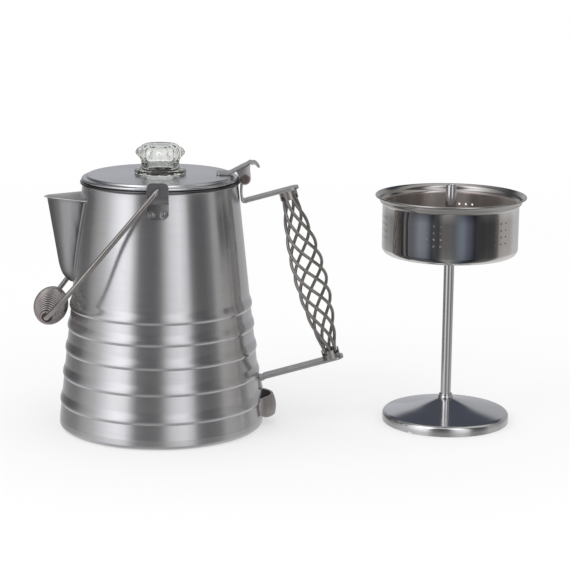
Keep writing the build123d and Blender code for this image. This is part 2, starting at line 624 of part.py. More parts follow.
with BuildPart() as basket:
    t = 0.8
    with BuildSketch(side_view):
        with BuildLine():
            zb = BASKET_FLOOR
            Line((5.66, zb), (BASKET_R - 5.5, zb))
            ThreePointArc((BASKET_R - 5.5, zb), (BASKET_R - 1.611, zb + 1.611), (BASKET_R, zb + 5.5))
            Line((BASKET_R, zb + 5.5), (BASKET_R, 171.0))
            Spline((BASKET_R, 171.0), (BASKET_R + 0.6, 172.2), (BASKET_R + 1.9, 173.0), (BASKET_R + 2.3, 174.4),
                   (BASKET_R + 3.2, 176.3), (BASKET_RIM_R - 0.8, 176.9), tangents=[(0, 1), (1, 0)])
            ThreePointArc((BASKET_RIM_R - 0.8, 176.9), (BASKET_RIM_R, 177.6), (BASKET_RIM_R - 0.8, BASKET_TOP))
            Spline((BASKET_RIM_R - 0.8, BASKET_TOP), (BASKET_R + 2.8, 177.4), (BASKET_R + 1.3, 174.6),
                   (BASKET_R + 0.8, 173.8), (BASKET_R - 0.2, 173.0), (BASKET_R - t, 171.2), tangents=[(-1, -0.05), (0, -1)])
            Line((BASKET_R - t, 171.2), (BASKET_R - t, zb + 5.5))
            ThreePointArc((BASKET_R - t, zb + 5.5), (BASKET_R - 2.177, zb + 2.177), (BASKET_R - 5.5, zb + t))
            Line((BASKET_R - 5.5, zb + t), (5.66, zb + t))
            Line((5.66, zb + t), (5.66, zb))
        make_face()
    revolve(axis=axis)
    with Locations(*wall_holes):
        Cylinder(HOLE_R, 5, mode=Mode.SUBTRACT)
    with Locations(*floor_holes):
        Cylinder(HOLE_R, 5, mode=Mode.SUBTRACT)

with BuildPart() as basket_hub:
    with BuildSketch(side_view):
        with BuildLine():
            Polyline((HUB_BORE, 128.0), (5.5, 128.0), (5.6, 128.5), (5.6, 131.2), (8.6, 131.5), (8.6, BASKET_FLOOR),
                     (5.6, BASKET_FLOOR), (5.6, 145.6), (5.2, 146.0), (HUB_BORE, 146.0), (HUB_BORE, 128.0))
        make_face()
    revolve(axis=axis)

# ---------------------------------------------------------------- write parts
pieces = {
    "pot_body": pot_body, "pot_bottom": pot_bottom, "spout": spout, "tilt_grip": tilt_grip,
    "lid": lid, "lid_collar": lid_collar, "lid_knob": lid_knob, "thumb_tab": thumb_tab,
    "hinge_pin": hinge_pin, "upper_handle_strap": upper_handle_strap,
    "lower_handle_strap": lower_handle_strap, "cage_cap_top": cage_cap_top,
    "cage_cap_bottom": cage_cap_bottom, "cage_wires": cage_wires,
    "bail_ear_front": bail_ear_front, "bail_ear_rear": bail_ear_rear, "bail_wire": bail_wire,
    "bail_coil_grip": bail_coil_grip, "pump_base": pump_base, "pump_tube": pump_tube,
    "tube_collar": tube_collar, "basket_stop": basket_stop, "basket": basket, "basket_hub": basket_hub,
}
for label, piece in pieces.items():
    piece.part.label = label
    export_step(piece.part, f"parts/{label}.step")
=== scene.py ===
"""A stovetop steel coffee pot, with its pump and basket standing beside it.

The pot stands on z = 0 round the Z axis. Its spout points to -X and its handle to +X.
The bail hangs over the spout side. The pump and basket stand on their own axis
further along +X. The camera looks from -Y, so "front" is -Y and "rear" is +Y.
Shapes are drawn in millimetres and built in metres.
"""
import bpy
import bmesh
import json
import numpy as np
from math import atan2, cos, exp, hypot, pi, radians, sin, sqrt
from mathutils import Matrix, Vector

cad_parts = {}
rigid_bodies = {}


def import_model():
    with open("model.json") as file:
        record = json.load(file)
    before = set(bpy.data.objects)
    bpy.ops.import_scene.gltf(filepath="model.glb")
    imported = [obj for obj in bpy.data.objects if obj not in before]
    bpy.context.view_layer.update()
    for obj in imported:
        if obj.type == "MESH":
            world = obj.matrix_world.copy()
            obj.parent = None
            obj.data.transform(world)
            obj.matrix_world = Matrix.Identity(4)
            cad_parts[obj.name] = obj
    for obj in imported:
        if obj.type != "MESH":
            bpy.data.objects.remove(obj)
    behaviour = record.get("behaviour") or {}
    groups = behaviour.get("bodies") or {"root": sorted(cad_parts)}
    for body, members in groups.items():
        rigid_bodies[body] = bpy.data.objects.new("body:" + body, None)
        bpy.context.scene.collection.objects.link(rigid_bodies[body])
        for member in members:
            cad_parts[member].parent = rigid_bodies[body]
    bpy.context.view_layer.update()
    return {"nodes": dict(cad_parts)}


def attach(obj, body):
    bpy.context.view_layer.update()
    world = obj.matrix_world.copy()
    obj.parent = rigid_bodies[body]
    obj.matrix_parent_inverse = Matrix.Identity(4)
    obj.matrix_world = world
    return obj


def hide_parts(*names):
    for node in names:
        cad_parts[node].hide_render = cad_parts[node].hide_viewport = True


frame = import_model()
NODES = frame["nodes"]
SCENE = bpy.context.scene
MM = 0.001

# ------------------------------------------------------------- dimensions, mm
# pot shell: a wall that leans in, a little less above Z_TAPER
WALL = 1.0
R_FOOT = 79.3
TAPER_LOW = 0.112
TAPER_HIGH = 0.1047
Z_TAPER = 102.0
Z_SEAM = 7.0
BEADS = [18.6, 39.7, 59.1, 76.4, 92.4]
CURL_R = 1.25
CURL_RING = 59.35
Z_RIM = 188.85
# beak: height above which its sides run straight, and its half-width there
BEAK_Z = 126.0
BEAK_HALF = 9.3
# lid and knob
LID_R = 59.5
LID_T = 0.9
LID_BEAD = 1.2
Z_LID_BEAD = Z_RIM + CURL_R + 0.05 + LID_BEAD
Z_LID_TOP = 194.3
LID_STEP_R = 54.6
LID_CROWN = 0.6
KNOB_HOLE_R = 13.58
KNOB_TOP_Z = 217.2
PIN_X, PIN_Z = 63.9, 191.9
# handle cage ends (x, z), bail pivot and grip
CAGE_TOP, CAGE_FOOT = (96.4, 181.9), (131.8, 51.4)
PIVOT_Z = 191.6
GRIP_X, GRIP_Z = -84.3, 92.3
# pump and basket
PUMP = PUMP_X, PUMP_Y = 221.7, 3.3
FOOT_R = 49.2
BASKET_R = 52.2
BASKET_RIM_R = 57.8
BASKET_FLOOR = 132.8
BASKET_TOP = 178.4


def shell_radius(z):
    if z <= Z_TAPER:
        return R_FOOT - TAPER_LOW * z
    return R_FOOT - TAPER_LOW * Z_TAPER - TAPER_HIGH * (z - Z_TAPER)


# --------------------------------------------------------------------- curves
def hermite(knots, x):
    """Cubic Hermite through knots (x, y, slope)."""
    if x <= knots[0][0]:
        return knots[0][1]
    for (x0, y0, m0), (x1, y1, m1) in zip(knots, knots[1:]):
        if x <= x1:
            h = x1 - x0
            t = (x - x0) / h
            return ((2 * t ** 3 - 3 * t ** 2 + 1) * y0 + (t ** 3 - 2 * t ** 2 + t) * h * m0
                    + (-2 * t ** 3 + 3 * t ** 2) * y1 + (t ** 3 - t ** 2) * h * m1)
    return knots[-1][1]


def chord_lengths(points):
    steps = np.linalg.norm(np.diff(points, axis=0), axis=1)
    return np.concatenate([[0], np.cumsum(steps)])


def cubic(points, count):
    """A natural cubic spline through points (any dimension), sampled by chord length."""
    p = np.array(points, float)
    knots = chord_lengths(p)
    size = len(p)
    matrix = np.zeros((size, size))
    rhs = np.zeros_like(p)
    matrix[0, 0] = matrix[-1, -1] = 1
    h = np.diff(knots)
    for i in range(1, size - 1):
        matrix[i, i - 1:i + 2] = h[i - 1], 2 * (h[i - 1] + h[i]), h[i]
        rhs[i] = 6 * ((p[i + 1] - p[i]) / h[i] - (p[i] - p[i - 1]) / h[i - 1])
    m = np.linalg.solve(matrix, rhs)
    out = []
    for s in np.linspace(0, knots[-1], count):
        i = min(max(int(np.searchsorted(knots, s)) - 1, 0), size - 2)
        u, v, w = knots[i + 1] - s, s - knots[i], h[i]
        out.append(m[i] * u ** 3 / (6 * w) + m[i + 1] * v ** 3 / (6 * w)
                   + (p[i] / w - m[i] * w / 6) * u + (p[i + 1] / w - m[i + 1] * w / 6) * v)
    return np.array(out)


def arc(centre_x, centre_y, radius, start, end, steps):
    """Points on an arc between two angles in degrees."""
    angles = [radians(start + (end - start) * k / steps) for k in range(steps + 1)]
    return [(centre_x + radius * cos(a), centre_y + radius * sin(a)) for a in angles]


def bezier(p0, p1, p2, p3, steps):
    """Points on a cubic Bezier, without its first."""
    return [tuple((1 - t) ** 3 * a + 3 * t * (1 - t) ** 2 * b + 3 * t * t * (1 - t) * c + t ** 3 * d
                  for a, b, c, d in zip(p0, p1, p2, p3))
            for t in [k / steps for k in range(1, steps + 1)]]


def points_at(points, lengths, at):
    return np.stack([np.interp(at, lengths, column) for column in points.T], 1)


def resample(points, count, ends=0.0):
    """Points at even steps, closer within `ends` of each end; also their lengths and the total."""
    points = np.array(points, float)
    lengths = chord_lengths(points)
    total = lengths[-1]
    at = np.linspace(0, total, count)
    if ends:
        near = np.linspace(0, 1, 14) ** 1.8 * ends
        middle = at[(at > ends) & (at < total - ends)]
        at = np.unique(np.concatenate([near, middle, total - near]))
    return points_at(points, lengths, at), at, total


def tangents(points):
    along = np.gradient(points, axis=0)
    along /= np.linalg.norm(along, axis=1)[:, None]
    return along


def rounded_half(s, total, half, start_r, end_r):
    """Half-width at length s of a strip whose corners are rounded at its start and end."""
    if start_r and s < start_r:
        return half - start_r + sqrt(max(start_r ** 2 - (start_r - s) ** 2, 0))
    if end_r and total - s < end_r:
        return half - end_r + sqrt(max(end_r ** 2 - (end_r - (total - s)) ** 2, 0))
    return half


# --------------------------------------------- shapes, each (vertices, faces)
def lathe(profile, segments, axis=(0.0, 0.0), warp=None):
    """A closed (r, z) loop turned about a vertical axis."""
    verts, rings, faces = [], [], []
    for r, z in profile:
        if r < 1e-6:
            rings.append([len(verts)])
            verts.append((*axis, z))
            continue
        ring = []
        for k in range(segments):
            a = 2 * pi * k / segments
            reach = r if warp is None else r * warp(a, r, z)
            ring.append(len(verts))
            verts.append((axis[0] + reach * cos(a), axis[1] + reach * sin(a), z))
        rings.append(ring)
    for p, q in zip(rings, rings[1:] + rings[:1]):
        if len(p) == 1 and len(q) == 1:
            continue
        for k in range(segments):
            m = (k + 1) % segments
            if len(p) == 1:
                faces.append((p[0], q[m], q[k]))
            elif len(q) == 1:
                faces.append((p[k], p[m], q[0]))
            else:
                faces.append((p[k], p[m], q[m], q[k]))
    return verts, faces


def perpendicular(direction):
    reference = np.array([0, 0, 1.0]) if abs(direction[2]) < 0.9 else np.array([1.0, 0, 0])
    side = np.cross(direction, reference)
    return side / np.linalg.norm(side)


def circle(centre, radius, side, up, count):
    angles = [2 * pi * k / count for k in range(count)]
    return [centre + radius * (cos(a) * side + sin(a) * up) for a in angles]


def tube_faces(rings, sides):
    """Faces between successive rings, and the two end caps."""
    faces = []
    for i in range(rings - 1):
        for k in range(sides):
            q = (k + 1) % sides
            faces.append((i * sides + k, i * sides + q, (i + 1) * sides + q, (i + 1) * sides + k))
    return faces + [tuple(range(sides))[::-1], tuple(range((rings - 1) * sides, rings * sides))]


def tube(path, radius, sides, round_end):
    """A round wire along a path, with slightly rounded ends."""
    path = np.array(path, float)
    along = tangents(path)
    last = len(path) - 1
    side = perpendicular(along[0])
    frames = []
    for i in range(last + 1):
        if i:
            side = side - along[i] * np.dot(side, along[i])
            side /= np.linalg.norm(side)
        frames.append((side, np.cross(along[i], side)))
    tip, shoulder = radius - round_end, radius - 0.3 * round_end
    stations = [(path[0], tip, 0), (path[0] + along[0] * round_end * 0.3, shoulder, 0)]
    stations += [(path[i], radius, i) for i in range(1, last)]
    stations += [(path[-1] - along[-1] * round_end * 0.3, shoulder, last), (path[-1], tip, last)]
    verts = []
    for centre, r, i in stations:
        verts += circle(centre, r, *frames[i], sides)
    return verts, tube_faces(len(stations), sides)


def thick(outer, inner):
    """A closed sheet between two point grids of the same size [row][column]."""
    a, b = np.array(outer, float), np.array(inner, float)
    rows, cols = a.shape[:2]
    verts = list(a.reshape(-1, 3)) + list(b.reshape(-1, 3))
    off = rows * cols
    faces = []
    for i in range(rows - 1):
        for j in range(cols - 1):
            p, q = i * cols + j, (i + 1) * cols + j
            faces.append((p, p + 1, q + 1, q))
            faces.append((off + p, off + q, off + q + 1, off + p + 1))
    end = (rows - 1) * cols
    for j in range(cols - 1):
        faces.append((j, off + j, off + j + 1, j + 1))
        faces.append((end + j, end + j + 1, off + end + j + 1, off + end + j))
    for i in range(rows - 1):
        p, q = i * cols, (i + 1) * cols
        faces.append((p, q, off + q, off + p))
        p, q = p + cols - 1, q + cols - 1
        faces.append((p, off + p, off + q, q))
    return verts, faces


def strip(middle, half, thickness):
    """A bent strip: centreline in XZ, with half-width and thickness at each station."""
    middle = np.array(middle, float)
    along = tangents(middle)
    normal = np.stack([-along[:, 1], along[:, 0]], 1)
    thickness = np.broadcast_to(np.array(thickness, float), (len(middle),))
    upper, lower = [], []
    for i in range(len(middle)):
        offset = normal[i] * thickness[i] / 2
        for grid, point in ((upper, middle[i] + offset), (lower, middle[i] - offset)):
            grid.append([(point[0], y, point[1]) for y in np.linspace(-half[i], half[i], 9)])
    return thick(upper, lower)


def join(shapes):
    verts, faces = [], []
    for more_verts, more_faces in shapes:
        off = len(verts)
        verts += list(more_verts)
        faces += [tuple(i + off for i in face) for face in more_faces]
    return verts, faces


def box(xs, ys, zs):
    """A box between the two values of each axis."""
    verts = [(x, y, z) for z in zs
             for x, y in ((xs[0], ys[0]), (xs[1], ys[0]), (xs[1], ys[1]), (xs[0], ys[1]))]
    return verts, [(0, 3, 2, 1), (4, 5, 6, 7), (0, 1, 5, 4), (1, 2, 6, 5), (2, 3, 7, 6), (3, 0, 4, 7)]


def prism(first, second, turned_cap):
    """A prism between two rings; the cap with index turned_cap is listed backwards."""
    n = len(first)
    caps = [tuple(range(n)), tuple(range(n, 2 * n))]
    caps[turned_cap] = caps[turned_cap][::-1]
    return first + second, caps + [(i, (i + 1) % n, n + (i + 1) % n, n + i) for i in range(n)]


def rods(places, half_length, radius, sides):
    """Short rods for cutting, at places (centre, direction)."""
    shapes = []
    for centre, direction in places:
        d = np.array(direction, float)
        d /= np.linalg.norm(d)
        side = perpendicular(d)
        verts = []
        for end in (-half_length, half_length):
            verts += circle(np.array(centre) + d * end, radius, side, np.cross(d, side), sides)
        shapes.append((verts, tube_faces(2, sides)))
    return join(shapes)


# -------------------------------------------------------------------- objects
def mesh_object(name, shape):
    verts, faces = shape
    mesh = bpy.data.meshes.new(name)
    mesh.from_pydata([tuple(float(c) * MM for c in v) for v in verts], [], faces)
    ob = bpy.data.objects.new(name, mesh)
    SCENE.collection.objects.link(ob)
    return ob


def finish_mesh(ob, sharp, bevel, bevel_angle):
    """Merges doubles, bevels edges over bevel_angle and marks those over sharp as hard."""
    bm = bmesh.new()
    bm.from_mesh(ob.data)
    bmesh.ops.remove_doubles(bm, verts=bm.verts, dist=1e-7)
    bmesh.ops.recalc_face_normals(bm, faces=bm.faces)

    def bends(edge, limit):
        return len(edge.link_faces) == 2 and edge.calc_face_angle(0) > limit

    if bevel:
        edges = [e for e in bm.edges if bends(e, radians(bevel_angle))]
        bmesh.ops.bevel(bm, geom=edges, offset=bevel * MM, segments=2, profile=0.5,
                        affect="EDGES", clamp_overlap=True)
    for face in bm.faces:
        face.smooth = True
    for edge in bm.edges:
        edge.smooth = not bends(edge, radians(sharp))
    bm.to_mesh(ob.data)
    bm.free()
    ob.data.update()


def hand_over(ob, body, replaced=None):
    if replaced:
        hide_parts(replaced)
    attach(ob, body)


def make(name, shape, material, body=None, replaced=None,
         sharp=50.0, bevel=0.0, bevel_angle=50.0):
    """Builds a piece; one without a body is handed over later, once it is cut."""
    ob = mesh_object(name, shape)
    ob.data.materials.append(material)
    finish_mesh(ob, sharp, bevel, bevel_angle)
    if body:
        hand_over(ob, body, replaced)
    return ob


def cut(ob, shape):
    """Cuts a mesh with a closed cutter and keeps the result as its mesh."""
    cutter = mesh_object("cutter", shape)
    bm = bmesh.new()
    bm.from_mesh(cutter.data)
    bmesh.ops.recalc_face_normals(bm, faces=bm.faces)
    bm.to_mesh(cutter.data)
    bm.free()
    modifier = ob.modifiers.new("cut", "BOOLEAN")
    modifier.operation = "DIFFERENCE"
    modifier.solver = "EXACT"
    modifier.object = cutter
    bpy.context.view_layer.update()
    depsgraph = bpy.context.evaluated_depsgraph_get()
    made = bpy.data.meshes.new_from_object(ob.evaluated_get(depsgraph))
    ob.modifiers.remove(modifier)
    old = ob.data
    ob.data = made
    made.name = ob.name
    bpy.data.meshes.remove(old)
    bpy.data.objects.remove(cutter)


def repaint(ob, index, material, belongs):
    """Adds a material as slot `index`, for faces where belongs(centre in mm, normal)."""
    ob.data.materials.append(material)
    for face in ob.data.polygons:
        if belongs(face.center / MM, face.normal):
            face.material_index = index


def recolour(names, material):
    """Gives CAD pieces that are kept as they are a new material."""
    for name in names:
        NODES[name].data.materials.clear()
        NODES[name].data.materials.append(material)


# --------------------------------------------------------------- shader nodes
class Value:
    """An output socket; on number sockets, + - * / build math nodes."""

    def __init__(self, net, socket):
        self.net = net
        self.socket = socket

    def __add__(self, other):
        return self.net.math("ADD", self, other)

    def __radd__(self, other):
        return self.net.math("ADD", other, self)

    def __sub__(self, other):
        return self.net.math("SUBTRACT", self, other)

    def __mul__(self, other):
        return self.net.math("MULTIPLY", self, other)

    def __truediv__(self, other):
        return self.net.math("DIVIDE", self, other)


class NodeNet:
    """Builds a node tree; vectors and places are in object millimetres."""

    def __init__(self, tree):
        self.tree = tree
        tree.nodes.clear()

    def node(self, kind, inputs=None, **properties):
        made = self.tree.nodes.new(kind)
        for key, value in properties.items():
            setattr(made, key, value)
        for key, value in (inputs or {}).items():
            self.put(made.inputs[key], value)
        return made

    def put(self, socket, value):
        if isinstance(value, Value):
            value = value.socket
        if isinstance(value, bpy.types.NodeSocket):
            self.tree.links.new(value, socket)
        elif socket.type == "RGBA":
            socket.default_value = (*value, 1.0)
        else:
            socket.default_value = value

    def math(self, operation, a, b=0.0, c=0.0, clamp=False):
        made = self.node("ShaderNodeMath", {0: a, 1: b, 2: c}, operation=operation, use_clamp=clamp)
        return Value(self, made.outputs[0])

    def vec(self, operation, a, b=(0, 0, 0)):
        made = self.node("ShaderNodeVectorMath", {0: a, 1: b}, operation=operation)
        is_number = operation in ("LENGTH", "DOT_PRODUCT")
        return Value(self, made.outputs["Value" if is_number else "Vector"])

    def scale(self, vector, factor):
        return self.node("ShaderNodeVectorMath", {0: vector, "Scale": factor},
                         operation="SCALE").outputs[0]

    def split(self, vector):
        made = self.node("ShaderNodeSeparateXYZ", {0: vector})
        return [Value(self, socket) for socket in made.outputs]

    def comb(self, x, y, z):
        return self.node("ShaderNodeCombineXYZ", {0: x, 1: y, 2: z}).outputs[0]

    def noise(self, vector, scale=1.0, detail=2.0, rough=0.5, distortion=0.0):
        inputs = {"Vector": vector, "Scale": scale, "Detail": detail, "Roughness": rough,
                  "Distortion": distortion}
        made = self.node("ShaderNodeTexNoise", inputs, noise_dimensions="3D")
        return Value(self, made.outputs[0])

    def remap(self, value, span, to=(0.0, 1.0), smooth=False):
        """Maps the two values of span to the two values of `to`."""
        made = self.node("ShaderNodeMapRange",
                         {0: value, 1: span[0], 2: span[1], 3: to[0], 4: to[1]},
                         interpolation_type="SMOOTHSTEP" if smooth else "LINEAR")
        return Value(self, made.outputs[0])

    def mix(self, factor, a, b, mode="MIX"):
        return self.node("ShaderNodeMix", {0: factor, 6: a, 7: b},
                         data_type="RGBA", blend_type=mode).outputs[2]

    def multiply(self, a, b):
        return self.mix(1.0, a, b, "MULTIPLY")

    def mix_shader(self, factor, a, b):
        return self.node("ShaderNodeMixShader", {0: factor, 1: a, 2: b}).outputs[0]

    def diffuse(self, colour):
        return self.node("ShaderNodeBsdfDiffuse", {"Color": colour}).outputs[0]

    def ramp(self, factor, stops):
        """A colour ramp from stops (position, grey or colour)."""
        made = self.node("ShaderNodeValToRGB", {0: factor})
        elements = made.color_ramp.elements
        while len(elements) > 1:
            elements.remove(elements[-1])
        for i, (position, colour) in enumerate(stops):
            colour = colour if isinstance(colour, tuple) else (colour,) * 3
            element = elements.new(position) if i else elements[0]
            element.position = position
            element.color = (*colour, 1.0)
        return made.outputs[0]

    def coords(self):
        """Object coordinates in millimetres."""
        place = self.node("ShaderNodeTexCoord").outputs["Object"]
        return self.vec("MULTIPLY", place, (1000.0, 1000.0, 1000.0))

    def ring_coords(self, axis):
        """Unit direction x and y, radius, height and tangent about a vertical axis."""
        x, y, z = self.split(self.coords())
        dx = x - axis[0]
        dy = y - axis[1]
        radius = self.math("MAXIMUM", self.math("SQRT", dx * dx + dy * dy), 0.01)
        ux = dx / radius
        uy = dy / radius
        tangent = self.node("ShaderNodeVectorTransform", {0: self.comb(uy * -1.0, ux, 0.0)},
                            vector_type="VECTOR", convert_from="OBJECT", convert_to="WORLD")
        return ux, uy, radius, z, tangent.outputs[0]

    def turn(self, opposite, adjacent):
        """An angle as a 0..1 fraction of a turn, with 0.5 at angle zero."""
        return self.math("ARCTAN2", opposite, adjacent) / (2 * pi) + 0.5

    def bounce_azimuth(self):
        """Azimuth of the mirror direction as a fraction of a turn, 0.5 towards -Y."""
        geometry = self.node("ShaderNodeNewGeometry").outputs
        incoming, normal = geometry["Incoming"], geometry["Normal"]
        facing = self.vec("DOT_PRODUCT", incoming, normal)
        mirrored = self.vec("SUBTRACT", self.scale(normal, facing * 2.0), incoming)
        x, y, _ = self.split(mirrored)
        return self.turn(x, y * -1.0)

    def bump(self, height, strength, distance):
        inputs = {"Strength": strength, "Distance": distance, "Height": height}
        return self.node("ShaderNodeBump", inputs).outputs[0]

    def out(self, surface, volume=None):
        made = self.node("ShaderNodeOutputMaterial", {"Surface": surface})
        if volume is not None:
            self.put(made.inputs["Volume"], volume)


def new_material(name):
    material = bpy.data.materials.new(name)
    material.use_nodes = True
    return material, NodeNet(material.node_tree)


def shade(colour, factor, limit=1):
    return tuple(min(limit, c * factor) for c in colour)


# ------------------------------------------------------------------ materials
def turned_steel(name, base, rough, aniso, grain, axis=(0.0, 0.0), bump=0.12, cloud=0.05,
                 painted_reflection=None, paint=None, haze=0.0, haze_top=0.25, haze_colour=None, painted_haze_light=None):
    """Steel brushed round a vertical axis.

    grain and cloud set how much fine lines and broad patches vary it. painted_reflection is a
    painted reflection, a ramp over the mirror azimuth, and paint a function that paints shade
    on the colour. haze mixes in a matt layer that changes to haze_top times as much higher up;
    painted_haze_light is painted light and shade on that layer, as a ramp round the axis.
    """
    material, net = new_material(name)
    ux, uy, radius, z, tangent = net.ring_coords(axis)
    run = z + radius * 1.37     # so that flat faces get rings too

    def ring_noise(around, across, **settings):
        return net.noise(net.comb(ux * around, uy * around, run * across), **settings)

    fine = ring_noise(around=2.2, across=3.2, detail=4.0, rough=0.62)
    streak = ring_noise(around=1.3, across=1.0 / 2.4, detail=3.0, rough=0.6)
    patch = ring_noise(around=3.0, across=0.03, detail=3.0, rough=0.55, distortion=0.4)
    roughness = net.math("ADD", rough + (fine - 0.5) * (grain * 2.2),
                         (patch - 0.5) * (cloud * 2.0), clamp=True)
    colour = net.mix(net.remap(fine, (0.3, 0.7)), shade(base, 1 - grain), shade(base, 1 + grain))
    colour = net.mix(net.remap(streak, (0.35, 0.65)) * 0.35, colour, shade(base, 1 - 1.6 * grain))
    colour = net.mix(net.remap(patch, (0.5, 0.8), to=(0.0, 0.5)), colour,
                     (base[0] * 0.93, base[1] * 0.90, base[2] * 0.87))
    # painted reflection: the colour follows a ramp over the mirror azimuth
    if painted_reflection:
        colour = net.multiply(colour, net.ramp(net.bounce_azimuth(), painted_reflection))
    if paint:
        colour = paint(net, colour)
    surface = net.node("ShaderNodeBsdfPrincipled", {
        "Base Color": colour, "Metallic": 1.0, "Roughness": roughness, "Anisotropic": aniso,
        "Anisotropic Rotation": 0.25, "Tangent": tangent,
        "Normal": net.bump(fine, strength=bump, distance=0.00004)}).outputs[0]
    if haze:
        matt = haze_colour or shade(base, 0.75)
        # painted light and shade in bands round the axis, on the matt layer
        if painted_haze_light:
            turn = net.turn(uy, ux) + (streak - 0.5) * 0.012
            matt = net.multiply(net.ramp(turn, painted_haze_light), matt)
            matt = net.mix(net.remap(fine, (0.3, 0.7), to=(0.0, 0.4)), matt,
                           shade(haze_colour, 0.5))
        amount = net.remap(z, (0.0, 110.0), to=(haze, haze * haze_top))
        surface = net.mix_shader(amount, surface, net.diffuse(matt))
    net.out(surface)
    return material


def plain_steel(name, base, rough, axis, warm=0.3, haze=0.06):
    """Mottled steel with a grain along one axis; warm sets how brown its patches are."""
    grain = 0.08
    cloud = 0.12
    material, net = new_material(name)
    place = net.coords()
    axis = Vector(axis).normalized()
    along = net.vec("DOT_PRODUCT", place, tuple(axis))
    stretched = net.vec("SUBTRACT", place, net.scale(tuple(axis), along * 0.93))
    fine = net.noise(stretched, scale=3.5, detail=4.0, rough=0.65)
    mottle = net.noise(place, scale=0.16, detail=5.0, rough=0.62, distortion=0.6)
    speck = net.noise(place, scale=1.4, detail=3.0, rough=0.6)
    pointiness = net.node("ShaderNodeNewGeometry").outputs["Pointiness"]
    worn = net.remap(pointiness, (0.5, 0.56), to=(0.0, 0.25), smooth=True)
    roughness = net.math("ADD", rough + (fine - 0.5) * (grain * 2),
                         (mottle - 0.5) * (cloud * 2), clamp=True)
    roughness = net.math("SUBTRACT", roughness, worn * 0.25, clamp=True)
    colour = net.mix(net.remap(fine, (0.3, 0.7)), shade(base, 1 - grain), shade(base, 1 + grain))
    colour = net.mix(net.remap(mottle, (0.42, 0.75), to=(0.0, warm)), colour,
                     (base[0] * 0.78, base[1] * 0.70, base[2] * 0.64))
    colour = net.mix(net.remap(speck, (0.55, 0.8), to=(0.0, 0.35)), colour, shade(base, 0.7))
    colour = net.mix(worn, colour, shade(base, 1.35, limit=0.85))
    normal = net.bump(fine * 0.6 + speck * 0.8, strength=0.25, distance=0.00006)
    surface = net.node("ShaderNodeBsdfPrincipled", {
        "Base Color": colour, "Metallic": 1.0, "Roughness": roughness,
        "Normal": normal}).outputs[0]
    net.out(net.mix_shader(haze, surface, net.diffuse(shade(base, 0.6))))
    return material


def clear_glass(name):
    """Slightly wavy, faintly green-yellow glass."""
    material, net = new_material(name)
    place = net.coords()
    wave = net.noise(place, scale=0.22)
    fine = net.noise(place, scale=1.3)
    normal = net.bump(wave * 1.0 + fine * 0.18, strength=0.25, distance=0.0006)
    surface = net.node("ShaderNodeBsdfGlass", {
        "Color": (0.998, 1.0, 0.994), "Roughness": net.remap(fine, (0.3, 0.8), to=(0.0, 0.035)),
        "IOR": 1.47, "Normal": normal}, distribution="MULTI_GGX")
    volume = net.node("ShaderNodeVolumeAbsorption", {"Color": (0.93, 0.97, 0.78), "Density": 10.0})
    net.out(surface.outputs[0], volume.outputs[0])
    return material


def beak_shade(net, colour):
    """Painted shade and reflection on the beak: darker towards its nose and where it meets the shell.
    """
    widening = 0.2686       # growth of the half-width with height
    _, y, z = net.split(net.coords())
    half = net.math("MULTIPLY_ADD", z, widening, BEAK_HALF - BEAK_Z * widening)
    half = net.math("MAXIMUM", half, 3.0)
    share = net.math("ABSOLUTE", y) / half
    wobble = (net.noise(net.comb(0.0, y * 0.35, z * 0.02), detail=3.0) - 0.5) * 0.12
    # (distance from the middle as a share of the half-width, brightness)
    stops = [(0.0, 0.36), (0.12, 0.24), (0.30, 0.30), (0.42, 0.48), (0.56, 0.84), (0.70, 0.88),
             (0.86, 0.60), (0.95, 0.22), (1.0, 0.16)]
    return net.multiply(colour, net.ramp(share + wobble, stops))


def rim_shade(net, colour):
    """Painted shade, with some grime, on the curl in the groove under the lid's rolled edge."""
    z = net.split(net.coords())[2]
    # the curl's upper part is painted dark: painted shade in the groove
    dark = net.remap(z, (187.6, 188.6), to=(0.0, 0.9), smooth=True)
    return net.mix(dark, colour, (0.05, 0.048, 0.05))


# Painted reflections on the basket's polished steel, as colours over the mirror azimuth: (fraction of
# a turn, colour)
BASKET_PAINTED_REFLECTION = [
    (0.0, (0.75, 0.74, 0.74)), (0.06, (0.85, 0.84, 0.84)), (0.14, (0.90, 0.87, 0.86)),
    (0.19, (0.58, 0.54, 0.52)), (0.235, (0.26, 0.245, 0.235)), (0.27, (0.16, 0.16, 0.165)),
    (0.30, (0.125, 0.13, 0.145)), (0.335, (0.17, 0.18, 0.20)), (0.365, (0.14, 0.148, 0.168)),
    (0.395, (0.047, 0.05, 0.06)), (0.425, (0.16, 0.165, 0.17)), (0.45, (0.52, 0.49, 0.48)),
    (0.48, (0.50, 0.48, 0.475)), (0.51, (0.27, 0.30, 0.335)), (0.54, (0.18, 0.20, 0.235)),
    (0.565, (0.09, 0.095, 0.12)), (0.60, (0.033, 0.033, 0.042)), (0.63, (0.15, 0.15, 0.15)),
    (0.66, (0.22, 0.22, 0.215)), (0.70, (0.18, 0.18, 0.18)), (0.722, (0.22, 0.22, 0.21)),
    (0.737, (0.58, 0.56, 0.55)), (0.78, (0.74, 0.715, 0.70)), (0.85, (0.90, 0.89, 0.88)),
    (1.0, (0.75, 0.74, 0.74))]
# Painted reflections inside the basket, as colours over the mirror azimuth: (fraction of a turn,
# colour)
INSIDE_PAINTED_REFLECTION = [
    (0.0, (0.62, 0.58, 0.56)), (0.25, (0.45, 0.41, 0.40)), (0.38, (0.42, 0.37, 0.36)),
    (0.41, (0.85, 0.80, 0.78)), (0.45, (0.85, 0.80, 0.78)), (0.48, (0.36, 0.32, 0.31)),
    (0.55, (0.60, 0.55, 0.54)), (0.60, (0.95, 0.92, 0.90)), (0.64, (0.50, 0.45, 0.44)),
    (0.75, (0.42, 0.38, 0.37)), (1.0, (0.62, 0.58, 0.56))]
